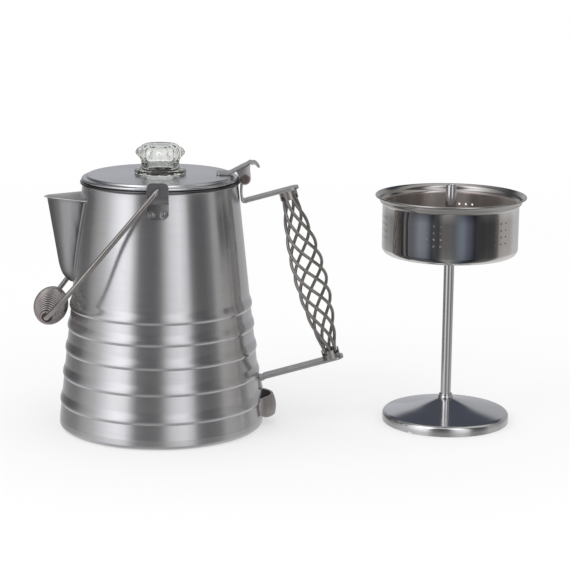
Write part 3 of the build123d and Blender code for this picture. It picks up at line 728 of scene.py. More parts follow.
# Painted light and shade on the matt layer inside the basket: (fraction of a turn round its axis, 0.5
# towards +X; brightness)
INSIDE_PAINTED_LIGHT = [
    (0.0, 0.45), (0.12, 0.35), (0.2, 0.7), (0.3, 0.4), (0.45, 0.8), (0.50, 1.0), (0.57, 1.0),
    (0.61, 0.45), (0.675, 0.40), (0.695, 1.0), (0.72, 0.9), (0.732, 0.42), (0.745, 0.95),
    (0.785, 0.95), (0.805, 0.40), (0.90, 0.35), (1.0, 0.45)]

SHELL_STEEL = turned_steel("shell_steel_brushed", base=(0.62, 0.62, 0.63), rough=0.215, aniso=0.84,
                           grain=0.045, bump=0.07, cloud=0.03, paint=rim_shade, haze=0.055)
SHELL_INSIDE = turned_steel("shell_inside", base=(0.56, 0.56, 0.565), rough=0.34, aniso=0.5,
                            grain=0.05)
LID_STEEL = turned_steel("lid_steel_satin", base=(0.60, 0.605, 0.62), rough=0.24, aniso=0.3,
                         grain=0.03, bump=0.05, cloud=0.02)
SPOUT_STEEL = turned_steel("spout_steel_brushed", base=(0.56, 0.56, 0.575), rough=0.33, aniso=0.45,
                           grain=0.05, cloud=0.08, paint=beak_shade)
# a lighter copy of the spout's steel with a heavy matt layer, so that the inside reads as lit:
# painted light
SPOUT_INSIDE = turned_steel("spout_inside", base=(0.66, 0.66, 0.66), rough=0.36, aniso=0.3,
                            grain=0.05, cloud=0.06, haze=0.38, haze_top=1.0)
PUMP_STEEL = turned_steel("pump_steel_polished", base=(0.66, 0.66, 0.665), rough=0.13, aniso=0.3,
                          grain=0.03, axis=PUMP, bump=0.06, cloud=0.03)
TUBE_STEEL = turned_steel("tube_steel_polished", base=(0.60, 0.59, 0.60), rough=0.15, aniso=0.2,
                          grain=0.03, axis=PUMP, bump=0.05, cloud=0.03)
# the polished basket's colour carries painted reflections over the mirror azimuth
BASKET_STEEL = turned_steel("basket_steel_polished", base=(1.0, 1.0, 1.0), rough=0.10, aniso=0.45,
                            grain=0.05, axis=PUMP, bump=0.07, cloud=0.03, painted_reflection=BASKET_PAINTED_REFLECTION)
# the inside's colour carries painted reflections, and its matt layer painted light bands
BASKET_INSIDE = turned_steel("basket_steel_inside", base=(0.82, 0.78, 0.76), rough=0.2, aniso=0.5,
                             grain=0.08, axis=PUMP, bump=0.09, painted_reflection=INSIDE_PAINTED_REFLECTION, haze=0.32,
                             haze_top=1.0, haze_colour=(0.62, 0.575, 0.545),
                             painted_haze_light=INSIDE_PAINTED_LIGHT)
RIM_STEEL = turned_steel("basket_steel_rim", base=(0.44, 0.425, 0.41), rough=0.17, aniso=0.4,
                         grain=0.05, axis=PUMP, bump=0.07, cloud=0.04)
STRAP_STEEL = plain_steel("strap_steel", base=(0.52, 0.515, 0.505), rough=0.36,
                          axis=(0.96, 0, 0.26))
EAR_STEEL = plain_steel("ear_steel", base=(0.29, 0.29, 0.30), rough=0.28, axis=(1, 0, 0),
                        warm=0.25, haze=0.03)
TAB_STEEL = plain_steel("tab_steel", base=(0.50, 0.49, 0.48), rough=0.36, axis=(0.88, 0, 0.46))
GRIP_STEEL = plain_steel("tilt_grip_steel", base=(0.46, 0.44, 0.425), rough=0.42, axis=(0, 0, 1),
                         warm=0.45)
WIRE_STEEL = plain_steel("wire_steel_drawn", base=(0.40, 0.38, 0.365), rough=0.27,
                         axis=(0.67, 0, 0.74), warm=0.35)
CAGE_STEEL = plain_steel("cage_wire_steel", base=(0.34, 0.325, 0.31), rough=0.26,
                         axis=(-0.26, 0, 0.965), warm=0.5)
COIL_STEEL = plain_steel("coil_wire_steel", base=(0.40, 0.37, 0.36), rough=0.24,
                         axis=(0, 0.3, 0.95), warm=0.5)
CAP_STEEL = plain_steel("cap_steel", base=(0.42, 0.40, 0.385), rough=0.34,
                        axis=(-0.26, 0, 0.965), warm=0.5)
PIN_STEEL = plain_steel("pin_steel_dark", base=(0.20, 0.165, 0.16), rough=0.42, axis=(0, 1, 0),
                        warm=0.7)
GLASS = clear_glass("clear_glass_pressed")

# ------------------------------------------------------------------ pot shell
BEAD_RUN = 9.4
# (height above the bead's foot, swell, slope)
BEAD_KNOTS = [(0, 0, 1.25), (1.3, 0.98, 0.38), (3.2, 1.2, -0.02), (6.2, 0.62, -0.24),
              (BEAD_RUN, 0, 0.0)]


def wall_line(inset):
    """(r, z) points up the wall; an inset line has half the points on each bead."""
    def at(z, swell=0.0):
        return shell_radius(z) + swell - inset, z

    points = [at(Z_SEAM)]
    for bead in BEADS:
        points += [at(bead - d) for d in (5.0, 1.2, 0.35) if bead - d > Z_SEAM + 0.5]
        for k in range(0, 25, 2 if inset else 1):
            d = BEAD_RUN * (k / 24) ** 1.25
            points.append(at(bead + d, hermite(BEAD_KNOTS, d)))
        points.append(at(bead + BEAD_RUN + 0.5))
    points += [at(z) for z in (102.6, 112, 124, 136, 148, 160, 172, 180, 185)]
    return sorted(points, key=lambda point: point[1])


def strainer_holes():
    """Rows of holes through the shell behind the spout, wider towards the top."""
    pitch = 6.0
    places = []
    for z in (134, 142, 150, 158, 166):
        count = int((6.5 + (z - 134) * 0.27) // pitch)
        radius = shell_radius(z)
        for k in range(-count, count + 1):
            a = pi + k * pitch / radius
            places.append(((radius * cos(a), radius * sin(a), z), (cos(a), sin(a), 0)))
    return rods(places, half_length=4.0, radius=1.5, sides=20)


curl = arc(CURL_RING, Z_RIM, CURL_R, -100, 180, 22)
pot = make("pot_shell", lathe(wall_line(0) + curl + wall_line(WALL)[::-1], 288), SHELL_STEEL,
           sharp=45)
cut(pot, strainer_holes())
repaint(pot, 1, SHELL_INSIDE, lambda centre, normal: (
    hypot(centre.x, centre.y) < shell_radius(centre.z) - 0.4
    and centre.z < 188.2 and abs(normal.z) < 0.9))
hand_over(pot, "pot", "pot_body")

# the pan closes the pot below the seam
seam_r = shell_radius(Z_SEAM)
pan = [(0, 0), (25, 0), (50, 0), (75.8, 0)]
pan += arc(75.75, 2.95, 2.98, -86, -4, 9)
pan += [(78.7, 3.4), (78.62, 5.2), (seam_r + 0.03, 6.86), (seam_r - 0.12, Z_SEAM),
        (seam_r - 1.0, Z_SEAM), (77.7, 3.6), (77.62, 2.7)]
pan += arc(75.7, 3.05, 1.9, -12, -90, 6)[1:]
pan += [(50, 1.15), (25, 1.15), (0, 1.15)]
make("pot_pan", lathe(pan, 288), SHELL_STEEL, "pot", "pot_bottom", sharp=40)

# ------------------------------------------------------------------ the spout
# (height, reach of the nose from the pot's axis, half-width at the shell)
SPOUT = [(111.0, 68.6, 2.6), (113.6, 72.0, 4.4), (118.0, 75.4, 6.6), (BEAK_Z, 77.8, BEAK_HALF),
         (150.0, 81.6, 15.9), (177.0, 85.9, 23.0)]
SPOUT_SEAM_TOP = 175.6


def smooth_knots(points):
    """Hermite knots through (x, y), with harmonic slopes between the ends."""
    knots = []
    for k, (x, y) in enumerate(points):
        if k == 0:
            slope = (points[1][1] - y) / (points[1][0] - x) * 1.25
        elif k == len(points) - 1:
            slope = (y - points[k - 1][1]) / (x - points[k - 1][0])
        else:
            slope = 2 / ((x - points[k - 1][0]) / (y - points[k - 1][1])
                         + (points[k + 1][0] - x) / (points[k + 1][1] - y))
        knots.append((x, y, slope))
    return knots


def spout_at(z):
    """Nose reach and half-width at a height."""
    columns = [[(row[0], row[i]) for row in SPOUT] for i in (1, 2)]
    if z >= BEAK_Z:
        return [np.interp(z, *zip(*column)) for column in columns]
    return [hermite(smooth_knots(column[:5]), z) for column in columns]


def ring_outside_shell(points, z, count, dig):
    """A spline through (x, y) points, kept where it is out of the shell, less dig."""
    curve = cubic(points, 241)
    limit = shell_radius(z) - dig
    keep = np.nonzero(np.hypot(curve[:, 0], curve[:, 1]) >= limit)[0]
    curve = curve[keep[0]:keep[-1] + 1]
    lengths = chord_lengths(curve)
    flat = points_at(curve, lengths, np.linspace(0, 1, count) * lengths[-1])
    return np.column_stack([flat, np.full(count, z)])


def spout_ring(z, grow, dig=0.5):
    nose, half = spout_at(z)
    back = -sqrt(max(shell_radius(z) ** 2 - half ** 2, 1))
    deep = nose + back
    half += grow
    rear = [(back + 0.24 * deep, 1.16 * half), (back, half), (back - 0.45 * deep, 0.64 * half),
            (back - 0.80 * deep - 0.6 * grow, 0.34 * half)]
    ring = rear + [(-(nose + grow), 0)] + [(x, -y) for x, y in reversed(rear)]
    return ring_outside_shell(ring, z, 81, dig)


levels = [111.3, 112.2, 113.4, 115, 117, 119.5, 122.5, 126, 132, 138, 144, 150, 157, 164, 170,
          174, SPOUT_SEAM_TOP]
outer_grid = [spout_ring(z, 0.0) for z in levels]
inner_grid = [spout_ring(min(z + (0.9 if z < 120 else 0), SPOUT_SEAM_TOP), -0.95) for z in levels]
# the lip rolls out at the top: (height, growth)
outer_grid += [spout_ring(z, grow)
               for z, grow in ((176.15, 0.35), (176.5, 1.05), (176.72, 1.85), (176.85, 2.5))]
inner_grid += [spout_ring(z, grow)
               for z, grow in ((176.3, -0.85), (176.85, -0.4), (177.3, 0.5), (177.5, 1.6))]
spout = make("spout_beak", thick(outer_grid, inner_grid), SPOUT_STEEL, "pot",
             "spout", bevel=0.18, bevel_angle=60)
# the inside faces take the lighter steel, without the beak's painted shade: painted light
repaint(spout, 1, SPOUT_INSIDE, lambda centre, normal: (
    normal.z > 0.45 or normal.x * (centre.x + 66) + normal.y * centre.y < 0))

# a thin weld seam where the beak meets the shell
for end, place in ((0, "rear"), (-1, "front")):
    line = []
    for z in np.linspace(112.0, 176.0, 60):
        x, y, _ = spout_ring(float(z), 0.0, dig=0.0)[end]
        a = atan2(y, x)
        radius = shell_radius(z) + 0.12
        line.append((radius * cos(a), radius * sin(a), z))
    make("spout_seam_" + place, tube(line, 0.62, 10, 0.3), STRAP_STEEL, "pot",
         sharp=38)


# ------------------------------------------- tilt grip, a loop low on the +X side
def grip_ring(z, half, reach, root):
    shoulder = root + 0.55 * (reach - root)
    points = [(root, -half), (shoulder, -0.86 * half), (reach, 0), (shoulder, 0.86 * half),
              (root, half)]
    return ring_outside_shell(points, z, 61, 0.5)


# (height, reach from the pot's axis, slope)
GRIP_REACH = [(6.6, 88.3, 0.16), (14.0, 88.9, -0.05), (22.6, 86.6, -0.40)]
heights = np.linspace(6.8, 22.5, 15)
outer_grid, inner_grid = [], []
for z in heights:
    half = np.interp(z, [6.6, 14.0, 22.6], [19.2, 19.0, 18.0])
    reach = hermite(GRIP_REACH, z)
    outer_grid.append(grip_ring(float(z), half, reach, 68.0))
    inner_grid.append(grip_ring(float(z), half - 1.85, reach - 1.9, 66.0))
# the strip's corners are cut off where it meets the shell
for grid in (outer_grid, inner_grid):
    count = len(grid[0])
    for k in range(count):
        u = abs(2 * k / (count - 1) - 1)
        lift = 2.6 * max(0.0, (u - 0.72) / 0.28) ** 1.5
        for i, z in enumerate(heights):
            w = (z - heights[0]) / (heights[-1] - heights[0])
            grid[i][k][2] = z + lift * (1 - w) * 0.9 - lift * w * 0.6
make("tilt_grip_strip", thick(outer_grid, inner_grid), GRIP_STEEL, "pot",
     "tilt_grip", bevel=0.35, bevel_angle=55)

# -------------------------------------------------------------------- the lid
CROWN_Z = Z_LID_TOP + LID_CROWN
LID_EDGE_Z = Z_LID_BEAD + LID_BEAD


def lid_top(r):
    """Height of the lid's upper face out to its step."""
    t = (r - KNOB_HOLE_R) / (LID_STEP_R - KNOB_HOLE_R)
    return CROWN_Z - LID_CROWN * t ** 1.6


# the step down to the edge: (outward, down)
STEP = [(0.0, 0.0), (0.35, -0.10), (0.75, -0.55), (1.05, -1.10), (1.35, -1.55), (1.7, -1.75)]
lid_line = [(r, lid_top(r)) for r in (KNOB_HOLE_R, 15, 18, 22, 28, 34, 40, 46, 50, 52.5, 53.9)]
lid_line += [(LID_STEP_R + d, Z_LID_TOP + h) for d, h in STEP]
lid_line += [(57.0, LID_EDGE_Z - 0.02), (57.8, LID_EDGE_Z - 0.005)]
lid_line += arc(LID_R - LID_BEAD, Z_LID_BEAD, LID_BEAD, 92, -190, 26)
lid_line += [(57.0, LID_EDGE_Z - LID_T), (LID_STEP_R + 1.1, LID_EDGE_Z - LID_T),
             (LID_STEP_R + 0.5, LID_EDGE_Z - LID_T + 0.5),
             (LID_STEP_R - 0.2, Z_LID_TOP - LID_T - 0.3)]
lid_line += [(r, lid_top(r) - LID_T) for r in (53, 48, 42, 34, 26, 18, KNOB_HOLE_R)]
lid = make("lid_plate", lathe(lid_line, 288), LID_STEEL, sharp=40)
# two notches in the knob hole's edge
cut(lid, join(box(sorted((side * (KNOB_HOLE_R - 2.7), side * (KNOB_HOLE_R + 2.7))),
                  (-3.7, 3.7), (CROWN_Z - 3, CROWN_Z + 3)) for side in (-1, 1)))
hand_over(lid, "lid", "lid")

# -------------------------------------------------------------- the glass knob
SEAT_Z = CROWN_Z + 0.02
FLUTES = 16
KNOB_DIP = 0.55     # the middle of the top below its highest ring
# the outside: (radius, depth below the knob's top)
KNOB_OUTSIDE = [
    (4.0, 0.5), (8.0, 0.25), (10.6, 0), (11.8, 0.05), (13.2, 0.55), (14.8, 1.7), (16.2, 2.6),
    (17.6, 3.9), (18.4, 5.2), (18.7, 6.2), (18.3, 7.4), (17.4, 8.6), (16.4, 9.6), (15.3, 11.0),
    (14.6, 12.4), (14.35, 13.8), (14.35, 15.6), (14.7, 17.0), (15.6, 18.0), (17.0, 18.6),
    (18.6, 18.95), (19.4, 19.5), (19.7, 20.3), (19.5, 21.3)]
# the neck and the hollow, from the seat in: (radius, height)
KNOB_INSIDE = [
    (14.2, SEAT_Z), (13.5, SEAT_Z - 0.25), (13.45, 192.0), (13.4, 189.1), (12.9, 188.6),
    (11.0, 188.6), (10.5, 189.1), (10.4, 192.0), (10.4, 198.0), (10.55, 202.0), (11.3, 205.0),
    (12.7, 207.3), (13.7, 209.3), (13.6, 211.2), (12.2, 212.7), (9.5, 213.5), (5.0, 213.9),
    (0.0, 214.0)]


def knob_warp(a, r, z):
    """Pressed facets round the bulb, and shallow ones on the flange's edge."""
    depth = 0.0
    if r > 9:
        depth = 0.055 * exp(-((z - 211.0) / 3.6) ** 2) + 0.02 * exp(-((z - 196.8) / 1.1) ** 2)
        if z > 216:
            depth *= 0.6
    u = (a * FLUTES / (2 * pi)) % 1.0
    return 1.0 - depth * (1 - abs(2 * u - 1) ** 1.6)


outside = [(r, KNOB_TOP_Z - depth) for r, depth in KNOB_OUTSIDE]
outside += [(19.0, SEAT_Z + 0.1), (18.6, SEAT_Z)]
knob_line = [(0.0, KNOB_TOP_Z - KNOB_DIP)] + [tuple(p) for p in cubic(outside, 64)] + KNOB_INSIDE
make("glass_knob", lathe(knob_line, FLUTES * 12, warp=knob_warp), GLASS, "knob",
     "lid_knob", sharp=60)
lugs = join(box((-3.0, 3.0), sorted((side * 12.6, side * 15.2)), (190.7, 193.1))
            for side in (-1, 1))
make("glass_knob_lugs", lugs, GLASS, "knob", bevel=0.35, sharp=60)

# ------------------------------------------------------------ thumb tab, hinge
SLOPE = radians(27.6)
TAB_T = 1.2
TAB_HALF = 8.6
TAB_BEND = (52.0, Z_LID_TOP + TAB_T + 0.36)


def on_tab(d):
    """(x, z) of the tab's middle layer, d up its slope from the bend."""
    return (TAB_BEND[0] + d * cos(SLOPE) + TAB_T / 2 * sin(SLOPE),
            TAB_BEND[1] + d * sin(SLOPE) - TAB_T / 2 * cos(SLOPE))


middle = [(x, TAB_BEND[1] - TAB_T / 2) for x in (42.5, 47, 51.2)]
middle += [on_tab(d) for d in (1.0, 4, 8, 12, 16, 18)]
middle += [(69.2, 203.35), (70.9, 203.5), (72.6, 202.6), (74.75, 200.0)]
points, at, total = resample(cubic(middle, 80), 70, 5.0)
half = [rounded_half(s, total, TAB_HALF, 3.0, 4.0) for s in at]
# the last stretch narrows
half = [h if s < total - 9 else min(h, TAB_HALF - 1.6 * ((s - total + 9) / 9) ** 2)
        for h, s in zip(half, at)]
make("thumb_leaf", strip(points, half, TAB_T), TAB_STEEL, "lid", "thumb_tab",
     bevel=0.25)

# cheeks that carry the pin, one on each side
cheek = [on_tab(d) for d in np.linspace(5.4, 17.6, 9)]
flank = [cheek[-1], (PIN_X + 4.1, 195.6), (PIN_X + 4.45, 193.2), (PIN_X + 4.5, PIN_Z)]
cheek += [tuple(p) for p in cubic(flank, 10)[1:]]
cheek += arc(PIN_X, PIN_Z, 4.5, 0, -160, 22)[1:]
cheek += [(PIN_X - 4.6, PIN_Z + 1.9)]
for side, place in ((-1, "front"), (1, "rear")):
    inner, outer = ([(x, side * y, z) for x, z in cheek] for y in (7.35, TAB_HALF))
    make("hinge_cheek_" + place, prism(inner, outer, turned_cap=1), TAB_STEEL, "lid",
         bevel=0.22)

# (radius, height) of a pin head
PIN_HEAD = [(0, 0), (3.35, 0), (3.6, 0.25), (3.6, 0.55), (3.45, 0.8), (3.15, 0.95), (2.2, 1.0),
            (0.8, 0.93), (0, 0.9)]
for side, place, replaced in ((-1, "front", "hinge_pin"), (1, "rear", None)):
    verts, faces = lathe(PIN_HEAD, 48)
    verts = [(PIN_X + x, side * TAB_HALF + side * z, PIN_Z + y) for x, y, z in verts]
    make("pin_head_" + place, (verts, faces), PIN_STEEL, "lid", replaced)
make("pin_shank", tube([(PIN_X, y, PIN_Z) for y in np.linspace(-8.7, 8.7, 9)], 1.7, 32, 0.1),
     PIN_STEEL, "lid")

# -------------------------------------------------------------- handle straps
STRAP_T = 1.9
STRAP_HALF = 7.0
lean = atan2(CAGE_FOOT[0] - CAGE_TOP[0], CAGE_TOP[1] - CAGE_FOOT[1])
ACROSS_X, ACROSS_Z = cos(lean), sin(lean)       # across the cage
UP_X, UP_Z = -sin(lean), cos(lean)              # up the cage's axis


def beside(end, d, up):
    """(x, z) of a place d across and `up` above an end of the cage."""
    return (end[0] + d * ACROSS_X + up * UP_X, end[1] + d * ACROSS_Z + up * UP_Z)


def beside_at(end, x, up):
    """The same, with the distance across given by the x it starts from."""
    return beside(end, (x - end[0]) / ACROSS_X, up)


# upper strap: from the cage down into a leg on the shell, then up and round the pin
EYE_R = 2.46
middle = [beside(CAGE_TOP, d, STRAP_T / 2)
          for d in (8.9, 6, 3, 0, -3, -6, -9, -12, -15, -18, -21, -24, -26, -28)]
middle += [beside_at(CAGE_TOP, 66.5, STRAP_T / 2), beside_at(CAGE_TOP, 64.0, STRAP_T / 2 + 0.05)]
middle += [(62.35, 174.6), (61.75, 176.6), (61.35, 179.5), (61.3, 182.5), (61.45, 185.5),
           (61.75, 187.6)]
path = [tuple(p) for p in cubic(middle, 140)] + [(61.62, 189.3), (61.5, 190.2)]
path += arc(PIN_X, PIN_Z, EYE_R, 200, -110, 45)
points, at, total = resample(path, 190, 6.0)
half = [rounded_half(s, total, STRAP_HALF, 6.0, 0.0) for s in at]
eye_length = EYE_R * radians(310)
thickness = [np.interp(total - s, [0, eye_length, eye_length + 4], [1.3, 1.3, STRAP_T])
             for s in at]
make("upper_strap", strip(points, half, thickness), STRAP_STEEL, "pot",
     "upper_handle_strap", bevel=0.28)

# lower strap: from the cage's foot to a weld leaf on the shell
middle = [beside(CAGE_FOOT, d, -STRAP_T / 2)
          for d in (8.9, 6, 3, 0, -4, -8, -12, -16, -20, -24, -28, -32, -36, -40, -44, -47, -49)]
middle += [beside_at(CAGE_FOOT, 81.0, -STRAP_T / 2),
           beside_at(CAGE_FOOT, 79.4, -STRAP_T / 2 - 0.25),
           (78.1, beside_at(CAGE_FOOT, 78.1, -STRAP_T / 2)[1] - 1.0)]
middle += [(shell_radius(35.5) + 0.95, 35.6), (shell_radius(33) + 0.75, 33),
           (shell_radius(30) + 0.85, 30), (shell_radius(26.6) + 1.25, 26.7)]
points, at, total = resample(cubic(middle, 140), 110, 6.0)
half = [rounded_half(s, total, STRAP_HALF, 6.0, 2.5) for s in at]
verts, faces = strip(points, half, STRAP_T)
# wrap the weld leaf round the shell
verts = [(x - (0.0 if x > 84 else (y * y) / (2 * 77.0) * min(1.0, (84 - x) / 5)), y, z)
         for x, y, z in verts]
make("lower_strap", (verts, faces), STRAP_STEEL, "pot", "lower_handle_strap",
     bevel=0.28)

# ------------------------------------------------------------------- the cage
STRANDS = 6
END_R, BELLY_R = 4.1, 11.95     # strand centres from the cage's axis, at the ends and middle
CAGE_TURNS = 1.28
cage_length = hypot(CAGE_FOOT[0] - CAGE_TOP[0], CAGE_FOOT[1] - CAGE_TOP[1])


def cage_strand(k):
    points = []
    for j in range(17):
        d = 2.1 + j / 16 * (cage_length - 4.2)
        q = min(max((d - 6.4) / (cage_length - 12.8), 0.0), 1.0)
        r = END_R + (BELLY_R - END_R) * sin(pi * q) ** 0.86
        turns = k / STRANDS + CAGE_TURNS * (q - 0.088 * sin(2 * pi * q) / (2 * pi))
        a = 2 * pi * turns - radians(7)
        points.append((CAGE_TOP[0] - d * UP_X + r * cos(a) * ACROSS_X, r * sin(a),
                       CAGE_TOP[1] - d * UP_Z + r * cos(a) * ACROSS_Z))
    return tube(cubic(points, 120), 1.25, 16, 0.2)


make("cage_strands", join(cage_strand(k) for k in range(STRANDS)), CAGE_STEEL, "pot",
     "cage_wires")
recolour(("cage_cap_top", "cage_cap_bottom"), CAP_STEEL)

# ------------------------------------------------------------------- the ears
EAR_HALF = 8.0
EAR_HALF_T = 0.72
EAR_Y = 62.05       # middle of the upright part
JOG_Z = 181.3       # the ear lies on the shell below this, and jogs upright above
DIMPLES = [(-4.6, 173.4), (4.6, 173.4)]
# (height, distance out, slope)
EAR_JOG = [(JOG_Z, shell_radius(JOG_Z) + 0.7, -0.10),
           (183.0, (shell_radius(183) + 62.75) / 2 + 0.1, 0.75),
           (184.8, EAR_Y, 0.0), (200, EAR_Y, 0.0)]
EAR_HEIGHTS = [169.8, 171, 173, 175, 177, 179, 180.6, 181.6, 182.4, 183.2, 184.0, 184.8, 186,
               188, 190, 192, 194, 196, 197.0]


def dimple_height(x, z):
    """Relief of the two dimples: a raised centre in a sunken ring."""
    relief = 0.0
    for dimple_x, dimple_z in DIMPLES:
        d = hypot(x - dimple_x, z - dimple_z)
        relief += 0.42 * exp(-(d / 1.15) ** 2) - 0.30 * exp(-((d - 2.1) / 0.5) ** 2)
    return relief


def ear(sign, name, replaced):
    """A bail ear on the front (-1) or rear (1) of the rim."""
    middle = [(shell_radius(z) + 0.7 if z <= JOG_Z else hermite(EAR_JOG, z), z)
              for z in EAR_HEIGHTS]
    points, at, total = resample(cubic(middle, 120), 74)
    along = tangents(points)
    normal = np.stack([along[:, 1], -along[:, 0]], 1)
    outer, inner = [], []
    for point, out, s in zip(points, normal, at):
        z = point[1]
        half = 5.0 + s if s < 3.0 else EAR_HALF
        half = min(half, rounded_half(s, total, EAR_HALF, 0, 4.0))
        wrap = max(0.0, min(1.0, (183.2 - z) / 3.0))
        outer_row, inner_row = [], []
        for x in np.linspace(-half, half, 45):
            sag = (shell_radius(z) - sqrt(shell_radius(z) ** 2 - x * x)) * wrap
            face = point + out * (EAR_HALF_T + dimple_height(x, z))
            back = point - out * EAR_HALF_T
            outer_row.append((x, sign * (face[0] - sag), face[1]))
            inner_row.append((x, sign * (back[0] - sag), back[1]))
        outer.append(outer_row)
        inner.append(inner_row)
    ob = make(name, thick(outer, inner), EAR_STEEL, bevel=0.25, bevel_angle=55)
    cut(ob, rods([((0, sign * 62, PIVOT_Z), (0, 1, 0))], half_length=4.0, radius=2.07, sides=40))
    hand_over(ob, "pot", replaced)


ear(-1, "ear_front", "bail_ear_front")
ear(1, "ear_rear", "bail_ear_rear")

# ------------------------------------------------------------------- the bail
HOOK = 3.1          # bend radius where the rod turns down outside the ear
LEG_Y = 65.9
leg_length = hypot(GRIP_X, GRIP_Z - PIVOT_Z)
# half the bail in its own plane: (distance from the pivot, y)
half_bail = [(0, 60.7), (0, 61.7), (0, LEG_Y - HOOK)]
half_bail += [(HOOK * (1 - cos(radians(a))), LEG_Y - HOOK + HOOK * sin(radians(a)))
              for a in (15, 30, 45, 60, 75, 90)]
half_bail += [(u, LEG_Y) for u in (6, 12, 20, 30)]
half_bail += bezier((30, LEG_Y), (66, LEG_Y), (leg_length - 30, 69.5), (leg_length - 8.5, 51.5), 9)
half_bail += bezier((leg_length - 8.5, 51.5), (leg_length - 4.0, 47.7), (leg_length, 45.5),
                    (leg_length, 41.0), 6)
half_bail += [(leg_length, y) for y in (38, 30, 20, 10)]
outline = [(u, -y) for u, y in half_bail] + [(leg_length, 0)] + half_bail[::-1]
leg_x, leg_z = GRIP_X / leg_length, (GRIP_Z - PIVOT_Z) / leg_length
path = [(u * leg_x, y, PIVOT_Z + u * leg_z) for u, y in outline]
make("bail_rod", tube(cubic(path, 420), 2.0, 24, 0.35), WIRE_STEEL, "bail",
     "bail_wire")

# the coil grip: a barrel-shaped coil, with one closing turn at each end
PER_TURN = 40
TURNS = 24
COIL_HALF = 37.6
COIL_END_R, COIL_BELLY_R, COIL_TAIL_R = 4.75, 12.05, 3.06
last = PER_TURN * TURNS
path = []
for j in range(-PER_TURN, last + PER_TURN + 1):
    y = -COIL_HALF + 2 * COIL_HALF * min(max(j / last, 0.0), 1.0)
    barrel = cos(pi * 0.5 * min(abs(y) / COIL_HALF, 1.0))
    r = COIL_END_R + (COIL_BELLY_R - COIL_END_R) * barrel
    over = max(-j, j - last, 0) / PER_TURN
    if over:
        r = COIL_END_R - (COIL_END_R - COIL_TAIL_R) * (3 * over ** 2 - 2 * over ** 3)
        y += over * 1.3 * (-1 if j < 0 else 1)
    a = 2 * pi * j / PER_TURN
    path.append((GRIP_X + r * cos(a), y, GRIP_Z + r * sin(a)))
make("coil_grip", tube(path, 1.0, 14, 0.25), COIL_STEEL, "grip", "bail_coil_grip")

# ------------------------------------------------------------------- the pump
foot_top = cubic([(4.02, 18.4), (6, 17.85), (9, 16.95), (20, 13.9), (33, 11.0),
                  (FOOT_R - 3.2, 7.9)], 40)
foot_under = cubic([(FOOT_R - 3.4, 7.0), (33, 10.1), (20, 13.0), (9, 16.05), (6, 16.85),
                    (4.02, 17.4)], 24)
# the rolled edge: (inward from the foot's radius, height)
FOOT_EDGE = [(2.2, 7.62), (1.3, 7.2), (0.6, 6.55), (0.15, 5.8), (0, 5.0), (0, 2.5), (0, 0.25),
             (0.2, 0.02), (0.7, 0.02), (0.9, 0.25), (0.9, 4.9), (1.2, 5.7), (2.0, 6.5)]
foot_line = [tuple(p) for p in foot_top] + [(FOOT_R - d, z) for d, z in FOOT_EDGE]
foot_line += [tuple(p) for p in foot_under]

# outline of a slot in the foot's edge: (sideways, height)
SLOT = [(-2.0, -1.0), (2.0, -1.0), (2.0, 0.9), (1.7, 1.25), (-1.7, 1.25), (-2.0, 0.9)]


def foot_slot(degrees):
    a = radians(degrees)
    centre = np.array([PUMP_X + FOOT_R * cos(a), PUMP_Y + FOOT_R * sin(a)])
    outward, sideways = np.array([cos(a), sin(a)]), np.array([-sin(a), cos(a)])
    inner, outer = ([(*(centre + outward * d + sideways * w), z) for w, z in SLOT]
                    for d in (-3, 3))
    return prism(inner, outer, turned_cap=0)


foot = make("pump_foot", lathe(foot_line, 240, PUMP), PUMP_STEEL, sharp=40)
cut(foot, join(foot_slot(-130 + 120 * k) for k in range(3)))
hand_over(foot, "pump", "pump_base")

riser = [(4.0, 15.0), (4.0, 60), (4.0, 100), (4.0, 140), (4.0, 185.5), (3.93, 185.8),
         (3.75, 186.0), (3.45, 186.0), (3.25, 185.8), (3.2, 185.5), (3.2, 140), (3.2, 60),
         (3.2, 15.0)]
make("riser_tube", lathe(riser, 64, PUMP), TUBE_STEEL, "pump", "pump_tube",
     sharp=40)
collar = [(4.01, 18.5), (5.5, 18.05), (5.85, 18.35), (5.9, 19.0), (5.7, 19.45), (5.1, 19.75),
          (4.95, 20.3), (5.15, 20.9), (5.05, 21.4), (4.6, 21.75), (4.01, 21.9)]
make("riser_collar", lathe(collar, 64, PUMP), TUBE_STEEL, "pump",
     "tube_collar")

# ----------------------------------------------------------------- the basket
BASKET_T = 0.8
HUB_R = 5.66
CORNER = 5.5
FLAT_R = BASKET_R - CORNER
CORNER_Z = BASKET_FLOOR + CORNER
outer_rim = cubic([(BASKET_R, 171.0), (BASKET_R + 0.3, 171.9), (BASKET_R + 1.5, 172.6),
                   (BASKET_R + 2.05, 173.6), (BASKET_R + 2.3, 174.7), (BASKET_R + 3.2, 176.1),
                   (BASKET_RIM_R - 1.0, 176.85)], 22)
inner_rim = cubic([(BASKET_RIM_R - 1.2, BASKET_TOP - 0.05), (BASKET_R + 3.0, 177.45),
                   (BASKET_R + 1.5, 175.6), (BASKET_R + 1.15, 174.4), (BASKET_R + 0.4, 173.5),
                   (BASKET_R - 0.5, 172.6), (BASKET_R - 0.8, 171.2)], 22)
basket_line = [(r, BASKET_FLOOR) for r in (HUB_R, 20, 35)]
basket_line += arc(FLAT_R, CORNER_Z, CORNER, -90, 0, 14)
basket_line += [(BASKET_R, z) for z in (146, 152, 158, 164)]
basket_line += [tuple(p) for p in outer_rim]
basket_line += arc(BASKET_RIM_R - 0.78, 177.62, 0.78, -80, 95, 12)
basket_line += [tuple(p) for p in inner_rim]
basket_line += [(BASKET_R - BASKET_T, z) for z in (164, 158, 152, 146)]
basket_line += arc(FLAT_R, CORNER_Z, CORNER - BASKET_T, 0, -90, 14)
basket_line += [(r, BASKET_FLOOR + BASKET_T) for r in (35, 20, HUB_R)]


